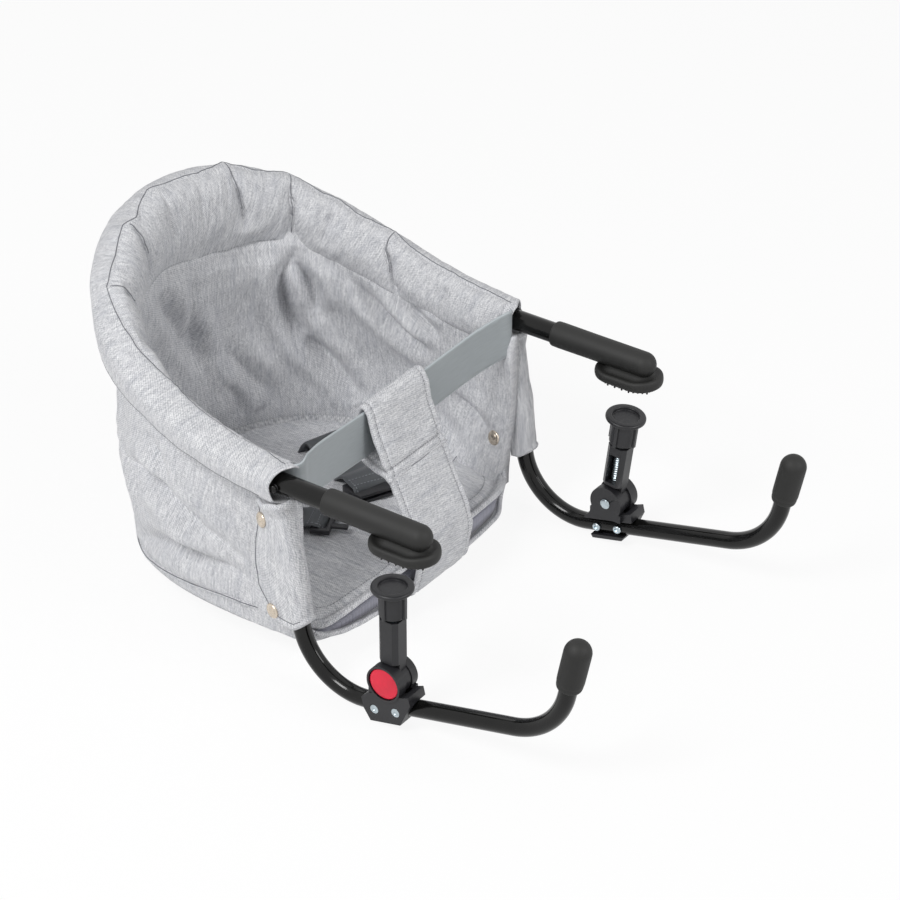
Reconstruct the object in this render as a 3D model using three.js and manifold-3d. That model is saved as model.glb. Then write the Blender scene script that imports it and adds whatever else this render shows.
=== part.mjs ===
// Hook-on table chair: a padded bucket seat hung on a U-shaped tube. The two arms of the tube lie on the
// table top, and two lower tubes, riveted to the arms, reach under it with a screw foot each.
// Millimetres, +Z up, -Y towards the table, +X the child's left. The origin lies on the table top, midway
// between the arms and above the screw feet.
import * as THREE from 'three';
import { mergeVertices } from 'three/addons/utils/BufferGeometryUtils.js';
import Module from 'manifold-3d';

const wasm = await Module();
wasm.setup();

// Fits
const GAP = 0.3;
const RUNNING_GAP = 0.4;
const CLOTH_GAP = 0.5;

// Seat frame tube
const ARM_SPAN = 342;
const FRAME_TUBE_D = 19;
const FRAME_TUBE_WALL = 1.5;
const ARM_FRONT_Y = -25;
const RIM_START_Y = 119.5;
const RIM_DEPTH = 263;
const RIM_RISE = 111.6;
const RIM_ROUNDNESS = 3.9;
const FRAME_SIDES = 10;
const FRAME_BORE_SIDES = 6;
const RIM_STEPS = 28;

// Rubber grips and their soles
const GRIP_D = 25;
const GRIP_REAR_Y = 66.5;
const GRIP_NOSE_Y = -40.5;
const SOLE_LENGTH = 66;
const SOLE_WIDTH = 42;
const SOLE_THICKNESS = 9;
const SOLE_OVERHANG = 5.5;
const SOLE_LAND = 22;
const GRIP_SINK = 1.5;
const NUB_HEIGHT = 3;
const NUB_D = 3.6;
const NUB_RING_COUNT = 12;
const NUB_RING_INSET = 5;

// Lower tubes
const LEG_TUBE_D = 16;
const LEG_TUBE_WALL = 1.5;
const PIVOT_Y = 115.5;
const LEG_LEAN = THREE.MathUtils.degToRad(7);
const LOWER_DROP = 181.9;
const LOWER_SLOPE = THREE.MathUtils.degToRad(13.66);
const FRONT_CORNER_Y = -167.4;
const TIP_LEAN = THREE.MathUtils.degToRad(11.5);
const TIP_LENGTH = 104.4;
const REAR_BEND_R = 60;
const FRONT_BEND_R = 70;
const LEG_SIDES = 10;
const LEG_BORE_SIDES = 8;
const BEND_STEPS = 6;

// Rubber tip caps
const CAP_D = 24;
const CAP_LENGTH = 50;
const CAP_BORE_DEPTH = 38;
const CAP_LIP = 1.5;

// Pivot yokes and rivets
const YOKE_CHEEK = 2.2;
const YOKE_WIDTH = 16;
const YOKE_ROOM = 5.5;
const YOKE_FLOOR = 6;
const YOKE_STEM = 28;
const RIVET_D = 6;
const RIVET_HEAD_D = 8;
const RIVET_HEAD = 1.6;

// Clamp brackets on the lower tubes
const BRACKET_LENGTH = 46;
const BRACKET_INNER = 9;
const BRACKET_CHEEK = 5;
const BRACKET_TOP = 16.5;
const BRACKET_FLOOR = 3.6;
const BRACKET_LIP = 7;
const BRACKET_LIP_RISE = 1.2;
const CHEEK_CHAMFER = 9;
const SCREW_SPACING = 23;
const SCREW_D = 4.2;
const SCREW_HEAD_D = 8.4;
const SCREW_HEAD = 2.6;
const SCREW_SLOT = 1;

// Hub that the post folds about
const HUB_HEIGHT = 29;
const BOSS_D = 34.5;
const EAR_D = 33;
const EAR_THICKNESS = 8;
const BOSS_DEPTH = 10.5;
const LUG_THICKNESS = 9;
const LUG_D = 31;
const PIN_D = 7;
const PIN_HEAD_D = 10;
const PIN_HEAD = 1.4;
const BUTTON_D = 30;
const BUTTON_THICKNESS = 4;
const BUTTON_RECESS = 1;
const BUTTON_TRAVEL = 2.5;
const BUTTON_CROWN = 0.8;
const SPRING_WIRE = 0.8;
const SPRING_EDGE = 2;

// Post, spindle and screw foot
const POST_WIDTH = 20;
const POST_DEPTH = 20;
const POST_CHAMFER = 4;
const POST_TOP = 62;
const POST_ROOT = 19;
const POST_SLOT_WIDTH = 11;
const POST_SLOT_LENGTH = 31;
const POST_SLOT_FOOT = 22;
const LEFT_POST_LEAN = THREE.MathUtils.degToRad(7);
const SPINDLE_D = 10;
const SPINDLE_FOOT = 21;
const NUT_D = 15;
const NUT_HEIGHT = 6;
const FOOT_FLANGE_D = 37.5;
const FOOT_FLANGE = 4;
const FOOT_DISH_D = 25;
const FOOT_DISH = 3;
const FOOT_SKIRT_D = 24.5;
const FOOT_SKIRT_LIFT = 2.2;
const FOOT_HEIGHT = 30;
const FOOT_RIB = 1.6;
const FOOT_RIB_COUNT = 4;
const FOOT_ROUND = 1;

// Padded seat cloth
const SLEEVE_D = 37;
const SLEEVE_MOUTH_Y = 107;
const SLEEVE_EASE = 1.5;
const SLEEVE_NOTCH = 30;
const SLEEVE_PINCH = 2;
const SLEEVE_PINCH_REACH = 0.035;
const SLEEVE_STEPS = 30;
const SLEEVE_SIDES = 10;
const SLEEVE_SEAMS = [-0.34, -0.13, 0.13, 0.34];
const WALL_THICKNESS = 6;
const WALL_FRONT_Y = 101;
const WALL_BULGE = 11;
const BULGE_SIDE = [0.12, 0.34];
const BULGE_TOP = [0.04, 0.3];
const BULGE_FOOT = [0.5, 0.92];
const WALL_STRAIGHT = 0.06;
const WALL_STEPS = 44;
const WALL_ROWS = 12;
const WALL_LEAST = 2.5;
const BAND_THICKNESS = 8;
const BAND_STAND = 0.5;
const BAND_DEPTH_SIDE = 24;
const BAND_DEPTH_BACK = 54;
const BAND_DEEPENS = [0.76, 0.97];
const BAND_ROWS = 3;
const BAND_EDGE = 0.5;
const SEAT_FRONT_Y = 77.5;
const SEAT_CORNER_ROUND = 2.6;
const SEAT_STEPS = 22;
const SEAT_DROP = 169;
const BASE_THICKNESS = 3;
const BASE_HEM = 2;
const BOARD_THICKNESS = 4;
const BOARD_INSET = 14;
const CUSHION_EDGE = 12;
const CUSHION_CROWN = 9;
const CUSHION_CLEARANCE = 1.5;
const CUSHION_ROLL = [0.9, 1.02];
const CUSHION_RINGS = [1, 0.96, 0.88, 0.7, 0.4];
const CUSHION_TUCK = 0.97;

// Folds of the wall's two faces: lines of places, each a share of the way along the wall and down it
const FOLD_DEPTH = 6;
const FOLD_WIDTH = 12;
const FOLD_SWELL = 0.5;
const FOLD_FADE = 0.5;
const FOLD_POINTS = 40;
const FOLD_TOP = 0.12;
const FOLD_FOOT = [0.78, 0.9];
const FOLD_FRONT = [0.8, 0.87];
const INNER_FOLDS = [
  [[0.37, 0.15], [0.33, 0.29], [0.35, 0.45], [0.38, 0.57], [0.48, 0.7], [0.56, 0.84]],
  [[0.53, 0.15], [0.63, 0.25], [0.7, 0.3], [0.77, 0.32]],
  [[-0.11, 0.22], [-0.02, 0.4], [0.05, 0.56], [0.09, 0.67]],
  [[0.17, 0.63], [0.24, 0.76], [0.29, 0.84]],
  [[-0.37, 0.21], [-0.44, 0.35], [-0.42, 0.63]],
  [[-0.63, 0.2], [-0.7, 0.35], [-0.81, 0.49]],
];
const OUTER_FOLDS = [
  [[-0.33, 0.59], [-0.55, 0.46], [-0.64, 0.47], [-0.71, 0.52], [-0.85, 0.63]],
  [[-0.42, 0.95], [-0.59, 0.79], [-0.75, 0.72], [-0.85, 0.74]],
  [[-0.31, 0.33], [-0.34, 0.48], [-0.44, 0.67], [-0.47, 0.83]],
  [[-0.1, 0.24], [-0.05, 0.47], [-0.08, 0.69]],
  [[0.12, 0.27], [0.16, 0.49], [0.12, 0.76]],
  [[0.37, 0.21], [0.42, 0.4], [0.38, 0.68], [0.44, 0.85]],
  [[0.33, 0.59], [0.55, 0.46], [0.67, 0.48], [0.79, 0.59]],
  [[0.44, 0.94], [0.61, 0.79], [0.76, 0.73], [0.86, 0.75]],
];

// Front flaps round the lower tubes
const FLAP_THICKNESS = 1.4;
const FLAP_TOP_DROP = 27;
const FLAP_BOTTOM_DROP = 148;
const FLAP_REACH = 42;
const FLAP_LEAD = 12;
const FLAP_INNER_REACH = 9;
const FLAP_TAPER = 6;
const FLAP_FLAT = 0.35;
const FLAP_HEM_ROUND = 26;

// Straps
const WEBBING_WIDTH = 47;
const WEBBING_THICKNESS = 2;
const WEBBING_END_Y = 112;
const WEBBING_BOW = 14;
const WEBBING_SAG = 11;
const WEBBING_END_DROP = 7;
const CROTCH_WIDTH = 84;
const CROTCH_THICKNESS = 4;
const CROTCH_LOOP = 2.6;
const CROTCH_STITCH = 0.4;
const CROTCH_FALL = [[0.36, 0.18], [0.56, 0.36], [1.08, 0.66], [1.16, 0.8], [1.08, 0.92]];
const CROTCH_UNDER = 24;
const CROTCH_EDGE = 0.35;
const BELT_WIDTH = 38;
const BELT_THICKNESS = 2;
const BELT_REAR_X = 78;
const BELT_REAR_Y = 300;
const BELT_FRONT_X = 36;
const BELT_FRONT_Y = 186;
const BELT_CURVE = 0.8;
const BUCKLE_WIDTH = 44;
const BUCKLE_LENGTH = 26;
const BUCKLE_THICKNESS = 9;
const BUCKLE_CORNER = 5;
const BUCKLE_WALL = 6;
const PRONG_WIDTH = 6;
const PRONG_REACH = 22;
const TONGUE_LENGTH = 10;
const SLIDER_WIDTH = 48;
const SLIDER_LENGTH = 30;
const SLIDER_THICKNESS = 4;
const SLIDER_BAR = 5;
const SLIDER_SHARE = 0.72;

// Snap fasteners
const SNAP_D = 14.5;
const SNAP_DOME = 3;
const WALL_SNAP_PLACE = [0.955, 0.71];
const SNAP_SIDE_INSET = 20;
const SNAP_TOP_INSET = 11.5;
const SNAP_FOOT_INSET = 21;
const SEAT_SNAP_X = 34;
const SEAT_SNAP_SHARE = 0.86;

// Derived places
const ARM_X = ARM_SPAN / 2;
const FRAME_R = FRAME_TUBE_D / 2;
const LEG_R = LEG_TUBE_D / 2;
const GRIP_R = GRIP_D / 2;
const ARM_Z = NUB_HEIGHT + SOLE_THICKNESS - GRIP_SINK + GRIP_R;
const SLEEVE_R = SLEEVE_D / 2;
const LOWER_Z = ARM_Z - LOWER_DROP;
const HUB_Z = LOWER_Z + HUB_HEIGHT;
const EAR_INNER = LUG_THICKNESS / 2 + GAP;
const BOSS_FACE = EAR_INNER + BOSS_DEPTH;
const EAR_FACE = EAR_INNER + EAR_THICKNESS;
const WALL_HALF = ARM_X - LEG_R - FLAP_THICKNESS - 2 * CLOTH_GAP - WALL_THICKNESS / 2;
const WALL_DEPTH = RIM_DEPTH - (ARM_X - WALL_HALF);
const SEAT_Z = ARM_Z - SEAT_DROP;
const WALL_FOOT_Z = SEAT_Z + BASE_THICKNESS + GAP;
const BOARD_Z = SEAT_Z + BASE_THICKNESS + GAP;
const CUSHION_Z = BOARD_Z + BOARD_THICKNESS + GAP;

const point = (x, y, z) => new THREE.Vector3(x, y, z);
const smooth = (from, to, value) => THREE.MathUtils.smoothstep(value, from, to);

// Closed, outward-facing triangles with shared corners
function tidy(geometry) {
  const plain = new THREE.BufferGeometry();
  plain.setAttribute('position', geometry.getAttribute('position').clone());
  if (geometry.index) plain.setIndex(geometry.index.clone());
  const merged = mergeVertices(plain, 1e-4);
  const index = merged.index.array;
  const place = merged.getAttribute('position');
  const corner = (i) => new THREE.Vector3().fromBufferAttribute(place, i);
  const kept = [];
  let volume = 0;
  for (let i = 0; i < index.length; i += 3) {
    const [a, b, c] = [index[i], index[i + 1], index[i + 2]];
    if (a === b || b === c || c === a) continue;
    kept.push(a, b, c);
    volume += corner(a).dot(corner(b).cross(corner(c)));
  }
  if (volume < 0) kept.reverse();
  merged.setIndex(kept);
  return merged;
}

function toSolid(geometry) {
  const closed = tidy(geometry);
  const vertProperties = Float32Array.from(closed.getAttribute('position').array);
  const triVerts = Uint32Array.from(closed.index.array);
  return new wasm.Manifold(new wasm.Mesh({ numProp: 3, vertProperties, triVerts }));
}

function toGeometry(solid) {
  const mesh = solid.getMesh();
  const geometry = new THREE.BufferGeometry();
  geometry.setAttribute('position', new THREE.BufferAttribute(mesh.vertProperties, 3));
  geometry.setIndex(new THREE.BufferAttribute(mesh.triVerts, 1));
  return geometry;
}

function join(...pieces) {
  return toGeometry(pieces.map(toSolid).reduce((whole, piece) => whole.add(piece)));
}

function cut(piece, ...tools) {
  return toGeometry(tools.map(toSolid).reduce((whole, tool) => whole.subtract(tool), toSolid(piece)));
}

function mirrored(geometry) {
  return tidy(geometry.clone().applyMatrix4(new THREE.Matrix4().makeScale(-1, 1, 1)));
}

// A cylinder between two places on the X axis
function rodX(from, to, diameter, sides = 16) {
  const rod = new THREE.CylinderGeometry(diameter / 2, diameter / 2, to - from, sides);
  return rod.rotateZ(Math.PI / 2).translate((from + to) / 2, 0, 0);
}

// A cylinder between two heights
function rodZ(from, to, diameter, sides = 16) {
  const rod = new THREE.CylinderGeometry(diameter / 2, diameter / 2, to - from, sides);
  return rod.rotateX(Math.PI / 2).translate(0, 0, (from + to) / 2);
}

function block(x0, x1, y0, y1, z0, z1) {
  const box = new THREE.BoxGeometry(x1 - x0, y1 - y0, z1 - z0);
  return box.translate((x0 + x1) / 2, (y0 + y1) / 2, (z0 + z1) / 2);
}

// A turned piece about Z from a profile of [radius, height] pairs
function turned(profile, sides) {
  const outline = profile.map(([radius, height]) => new THREE.Vector2(radius, height));
  return new THREE.LatheGeometry(outline, sides).rotateX(Math.PI / 2);
}

// Profile points of a dome of the given radius, from its rim at height 0 to its crown
function domeProfile(radius, height, steps) {
  const points = [];
  for (let i = 0; i <= steps; i++) {
    const angle = (Math.PI / 2) * (i / steps);
    points.push([i === steps ? 0 : radius * Math.cos(angle), height * Math.sin(angle)]);
  }
  return points;
}

// A flat outline through [x, y] corners
function outlineOf(corners) {
  return new THREE.Shape(corners.map(([x, y]) => new THREE.Vector2(x, y)));
}

function extruded(outline, depth, curveSegments = 1) {
  return new THREE.ExtrudeGeometry(outline, { depth, curveSegments, bevelEnabled: false });
}

function circle(radius, sides) {
  const points = [];
  for (let i = 0; i < sides; i++) {
    const angle = (2 * Math.PI * i) / sides;
    points.push(new THREE.Vector2(radius * Math.cos(angle), radius * Math.sin(angle)));
  }
  return points;
}

// Ring of points about a station of a path, square to the way ahead
function ringAbout({ place, ahead, side }, radius, sides) {
  const up = ahead.clone().cross(side);
  return circle(radius, sides).map((p) =>
    place.clone().addScaledVector(side, p.x).addScaledVector(up, p.y));
}

// A round bar through the stations of a path
function bar(stations, radius, sides) {
  return loft(stations.map((station) => ringAbout(station, radius, sides)));
}

// A round tube through the stations of a path, open at both ends
function pipe(stations, outer, bore, sides, boreSides) {
  const [first, last] = [stations[0], stations[stations.length - 1]];
  const before = { ...first, place: first.place.clone().sub(first.ahead) };
  const after = { ...last, place: last.place.clone().add(last.ahead) };
  return cut(bar(stations, outer, sides), bar([before, ...stations, after], bore, boreSides));
}

// A closed sheet about a middle surface, u across and v along, of even or varying thickness
function sheet(surface, across, along, thickness) {
  const depth = typeof thickness === 'function' ? thickness : () => thickness;
  const step = 1e-3;
  const places = [];
  for (const side of [0.5, -0.5]) {
    for (let i = 0; i <= across; i++) {
      for (let j = 0; j <= along; j++) {
        const [u, v] = [i / across, j / along];
        const alongU = surface(Math.min(u + step, 1), v).sub(surface(Math.max(u - step, 0), v));
        const alongV = surface(u, Math.min(v + step, 1)).sub(surface(u, Math.max(v - step, 0)));
        const normal = alongU.cross(alongV).normalize();
        places.push(surface(u, v).addScaledVector(normal, side * depth(u, v)));
      }
    }
  }
  const row = along + 1;
  const back = (across + 1) * row;
  const index = [];
  const quad = (a, b, c, d) => index.push(a, b, c, a, c, d);
  for (let i = 0; i < across; i++) {
    for (let j = 0; j < along; j++) {
      const a = i * row + j;
      quad(a, a + row, a + row + 1, a + 1);
      quad(back + a, back + a + 1, back + a + row + 1, back + a + row);
    }
  }
  for (let i = 0; i < across; i++) {
    const [a, b] = [i * row, i * row + along];
    quad(a, back + a, back + a + row, a + row);
    quad(b, b + row, back + b + row, back + b);
  }
  for (let j = 0; j < along; j++) {
    const [a, b] = [j, across * row + j];
    quad(a, a + 1, back + a + 1, back + a);
    quad(b, back + b, back + b + 1, b + 1);
  }
  return tidy(new THREE.BufferGeometry().setFromPoints(places).setIndex(index));
}

// A closed solid through rings of equal count, with flat ends
function loft(rings) {
  const sides = rings[0].length;
  const index = [];
  for (let i = 0; i + 1 < rings.length; i++) {
    for (let j = 0; j < sides; j++) {
      const [a, b] = [i * sides + j, i * sides + ((j + 1) % sides)];
      index.push(a, b, b + sides, a, b + sides, a + sides);
    }
  }
  const last = (rings.length - 1) * sides;
  for (let j = 1; j + 1 < sides; j++) {
    index.push(0, j + 1, j, last, last + j, last + j + 1);
  }
  return tidy(new THREE.BufferGeometry().setFromPoints(rings.flat()).setIndex(index));
}

// Stations round a bend between two directions in a plane of constant X
function bendStations(corner, toward, away, radius) {
  const turn = toward.angleTo(away);
  const start = corner.clone().addScaledVector(toward, -radius * Math.tan(turn / 2));
  const inward = away.clone().addScaledVector(toward, -toward.dot(away)).normalize();
  const stations = [];
  for (let i = 0; i <= BEND_STEPS; i++) {
    const angle = (turn * i) / BEND_STEPS;
    const place = start.clone()
      .addScaledVector(toward, radius * Math.sin(angle))
      .addScaledVector(inward, radius * (1 - Math.cos(angle)));
    const ahead = toward.clone().multiplyScalar(Math.cos(angle)).addScaledVector(inward, Math.sin(angle));
    stations.push({ place, ahead, side: point(1, 0, 0) });
  }
  return stations;
}

// Half width of a U-shaped plan at a share of its depth
const planHalf = (half, share) => half * Math.sqrt(Math.max(0, 1 - Math.max(0, share) ** RIM_ROUNDNESS));

// Height of the rim above the arms at a share of its depth
const rimHeight = (share) => ARM_Z + RIM_RISE * Math.max(0, share) ** 2;

// Seat frame path: one arm, round the back of the rim, and along the other arm
class RimPath extends THREE.Curve {
  constructor(frontY) {
    super();
    const side = RIM_START_Y - frontY;
    this.frontY = frontY;
    this.armShare = side / (2 * side + (Math.PI / 2) * (RIM_DEPTH + ARM_X));
  }

  getPoint(t, target = new THREE.Vector3()) {
    const side = t < 0.5 ? -1 : 1;
    const fromEnd = Math.min(t, 1 - t);
    if (fromEnd < this.armShare) {
      const y = THREE.MathUtils.lerp(this.frontY, RIM_START_Y, fromEnd / this.armShare);
      return target.set(side * ARM_X, y, ARM_Z);
    }
    const angle = ((Math.PI / 2) * (fromEnd - this.armShare)) / (0.5 - this.armShare);
    const share = Math.sin(angle);
    const y = RIM_START_Y + RIM_DEPTH * share;
    return target.set(side * planHalf(ARM_X, share), y, rimHeight(share));
  }

  // Place and directions at a share of the parameter, the side pointing out of the seat
  station(t) {
    const ahead = this.getTangent(t);
    return { place: this.getPoint(t), ahead, side: point(0, 0, 1).cross(ahead).normalize() };
  }
}

// Stations of the seat frame: the ends of the arms, and even steps round the rim
function frameStations() {
  const path = new RimPath(ARM_FRONT_Y);
  const stations = [path.station(0)];
  for (let i = 0; i <= RIM_STEPS; i++) {
    stations.push(path.station(THREE.MathUtils.lerp(path.armShare, 1 - path.armShare, i / RIM_STEPS)));
  }
  return [...stations, path.station(1)];
}

// Plan of the seat wall: s runs from -1 at the right front edge, round the back, to 1 at the left one
function wallPlan(s) {
  const side = s < 0 ? -1 : 1;
  const fromEnd = 1 - Math.abs(s);
  if (fromEnd < WALL_STRAIGHT) {
    const y = THREE.MathUtils.lerp(WALL_FRONT_Y, RIM_START_Y, fromEnd / WALL_STRAIGHT);
    return { x: side * WALL_HALF, y, share: 0 };
  }
  const share = Math.sin(((Math.PI / 2) * (fromEnd - WALL_STRAIGHT)) / (1 - WALL_STRAIGHT));
  return { x: side * planHalf(WALL_HALF, share), y: RIM_START_Y + WALL_DEPTH * share, share };
}

// Direction out of the seat in plan
function wallOutward(s) {
  const step = 1e-3;
  const before = wallPlan(Math.max(s - step, -1));
  const after = wallPlan(Math.min(s + step, 1));
  return point(before.y - after.y, after.x - before.x, 0).normalize();
}

// Place on the wall before it swells: v runs from the rim down to the seat base
const wallTop = (share) => rimHeight(share) - SLEEVE_R / 2;

function flatWall(s, v) {
  const { x, y, share } = wallPlan(s);
  return point(x, y, THREE.MathUtils.lerp(wallTop(share), WALL_FOOT_Z, v));
}

// Middle surface of the padded wall
function wallPoint(s, v, offset = 0) {
  const { share } = wallPlan(s);
  const swell = smooth(...BULGE_SIDE, share) * smooth(...BULGE_TOP, v) * (1 - smooth(...BULGE_FOOT, v));
  return flatWall(s, v).addScaledVector(wallOutward(s), WALL_BULGE * swell + offset);
}

// Seat frame: U tube, grips and soles
function frameTube() {
  const bore = FRAME_R - FRAME_TUBE_WALL;
  const tube = pipe(frameStations(), FRAME_R, bore, FRAME_SIDES, FRAME_BORE_SIDES);
  const hole = rodX(-2 * ARM_X, 2 * ARM_X, RIVET_D + 2 * RUNNING_GAP, 10);
  return cut(tube, hole.translate(0, PIVOT_Y, ARM_Z));
}

function armGrip() {
  const length = GRIP_REAR_Y - GRIP_NOSE_Y;
  const bore = FRAME_R + GAP;
  const nose = domeProfile(GRIP_R, GRIP_R, 5).map(([r, h]) => [r, length - GRIP_R + h]);
  const boreEnd = GRIP_REAR_Y - ARM_FRONT_Y + GAP;
  const profile = [[0, boreEnd], [bore, boreEnd], [bore, 0], [GRIP_R, 0], ...nose];
  const grip = turned(profile, 16).rotateX(Math.PI / 2);
  return grip.translate(ARM_X, GRIP_REAR_Y, ARM_Z);
}

function gripSole() {
  const end = SOLE_WIDTH / 2;
  const straight = SOLE_LENGTH / 2 - end;
  const outline = new THREE.Shape();
  outline.absarc(0, -straight, end, Math.PI, 2 * Math.PI);
  outline.absarc(0, straight, end, 0, Math.PI);
  const pad = extruded(outline, SOLE_THICKNESS, 5).translate(0, 0, NUB_HEIGHT);
  const nubs = [];
  for (let i = 0; i < NUB_RING_COUNT; i++) {
    const angle = (2 * Math.PI * i) / NUB_RING_COUNT;
    const x = (end - NUB_RING_INSET) * Math.cos(angle);
    const y = (SOLE_LENGTH / 2 - NUB_RING_INSET) * Math.sin(angle);
    nubs.push(rodZ(0, NUB_HEIGHT + GAP, NUB_D, 6).translate(x, y, 0));
  }
  const land = block(-SOLE_LAND / 4, SOLE_LAND / 4, -SOLE_LAND / 2, SOLE_LAND / 2, 0, NUB_HEIGHT + GAP);
  const middleY = GRIP_NOSE_Y - SOLE_OVERHANG + SOLE_LENGTH / 2;
  const sole = join(pad, land, ...nubs).translate(ARM_X, middleY, 0);
  const seat = new THREE.CylinderGeometry(GRIP_R + GAP, GRIP_R + GAP, 2 * SOLE_LENGTH, 24);
  return cut(sole, seat.translate(ARM_X, middleY, ARM_Z));
}

// Lower tubes: riveted yoke, leg, lower run and upturned tip
const legDown = point(0, -Math.sin(LEG_LEAN), -Math.cos(LEG_LEAN));
const lowerForward = point(0, -Math.cos(LOWER_SLOPE), Math.sin(LOWER_SLOPE));
const tipUp = point(0, -Math.sin(TIP_LEAN), Math.cos(TIP_LEAN));
const lowerHeight = (y) => LOWER_Z - y * Math.tan(LOWER_SLOPE);
const pivot = point(ARM_X, PIVOT_Y, ARM_Z);
const frontCorner = point(ARM_X, FRONT_CORNER_Y, lowerHeight(FRONT_CORNER_Y));
const lowerPitch = Math.tan(LOWER_SLOPE);
const legFall = (PIVOT_Y * lowerPitch + LOWER_DROP) / (Math.cos(LEG_LEAN) + Math.sin(LEG_LEAN) * lowerPitch);
const rearCorner = pivot.clone().addScaledVector(legDown, legFall);
const legTopDrop = FRAME_R + YOKE_ROOM + YOKE_FLOOR + GAP;
const legBore = LEG_R - LEG_TUBE_WALL;

// Turns a piece made upright about the pivot so that it lies along the leg
const alongLeg = (geometry) => geometry.rotateX(-LEG_LEAN).translate(pivot.x, pivot.y, pivot.z);

// Turns a piece made level on the lower tube's axis so that it lies along the tube under the post
const alongLower = (geometry) => geometry.rotateX(-LOWER_SLOPE).translate(ARM_X, 0, LOWER_Z);

function screwPlaces() {
  return [-SCREW_SPACING / 2, SCREW_SPACING / 2];
}

function legTube() {
  const start = pivot.clone().addScaledVector(legDown, legTopDrop);
  const tip = TIP_LENGTH - CAP_LENGTH + CAP_BORE_DEPTH - GAP;
  const stations = [
    { place: start, ahead: legDown, side: point(1, 0, 0) },
    ...bendStations(rearCorner, legDown, lowerForward, REAR_BEND_R),
    ...bendStations(frontCorner, lowerForward, tipUp, FRONT_BEND_R),
    { place: frontCorner.clone().addScaledVector(tipUp, tip), ahead: tipUp, side: point(1, 0, 0) },
  ];
  const tube = pipe(stations, LEG_R, legBore, LEG_SIDES, LEG_BORE_SIDES);
  const holes = screwPlaces().map((y) =>
    alongLower(rodX(-2 * LEG_R, 2 * LEG_R, SCREW_D + 2 * GAP, 8).translate(0, y, 0)));
  return cut(tube, ...holes);
}

function tipCap() {
  const radius = CAP_D / 2;
  const bore = LEG_R + GAP;
  const crown = domeProfile(radius, radius, 5).map(([r, h]) => [r, CAP_LENGTH - radius + h]);
  const mouth = [[bore, 0], [radius - CAP_LIP, 0], [radius, CAP_LIP]];
  const profile = [[0, CAP_BORE_DEPTH], [bore, CAP_BORE_DEPTH], ...mouth, ...crown];
  const base = frontCorner.clone().addScaledVector(tipUp, TIP_LENGTH - CAP_LENGTH);
  return turned(profile, 16).rotateX(TIP_LEAN).translate(base.x, base.y, base.z);
}

const yokeHalf = FRAME_R + RUNNING_GAP + YOKE_CHEEK;

function pivotYoke() {
  const half = YOKE_WIDTH / 2;
  const floor = -FRAME_R - YOKE_ROOM;
  const stem = 2 * (legBore * Math.cos(Math.PI / LEG_BORE_SIDES) - GAP);
  const cheeks = join(
    block(-yokeHalf, yokeHalf, -half, half, floor - YOKE_FLOOR, 0),
    rodX(-yokeHalf, yokeHalf, YOKE_WIDTH, 14),
    rodZ(-legTopDrop - YOKE_STEM, floor - YOKE_FLOOR / 2, stem, 10),
  );
  const inside = yokeHalf - YOKE_CHEEK;
  const armRoom = block(-inside, inside, -YOKE_WIDTH, YOKE_WIDTH, floor, YOKE_WIDTH);
  const eye = rodX(-2 * yokeHalf, 2 * yokeHalf, RIVET_D + 2 * GAP, 12);
  return alongLeg(cut(cheeks, armRoom, eye));
}

function pivotRivet() {
  const face = yokeHalf + GAP;
  const end = face + RIVET_HEAD;
  const shank = rodX(-end, end, RIVET_D, 10);
  const heads = [rodX(-end, -face, RIVET_HEAD_D, 10), rodX(face, end, RIVET_HEAD_D, 10)];
  return join(shank, ...heads).translate(pivot.x, pivot.y, pivot.z);
}

const buttonBack = BOSS_FACE - BUTTON_RECESS - BUTTON_THICKNESS;
const wellFloor = buttonBack - BUTTON_TRAVEL - GAP;

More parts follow.
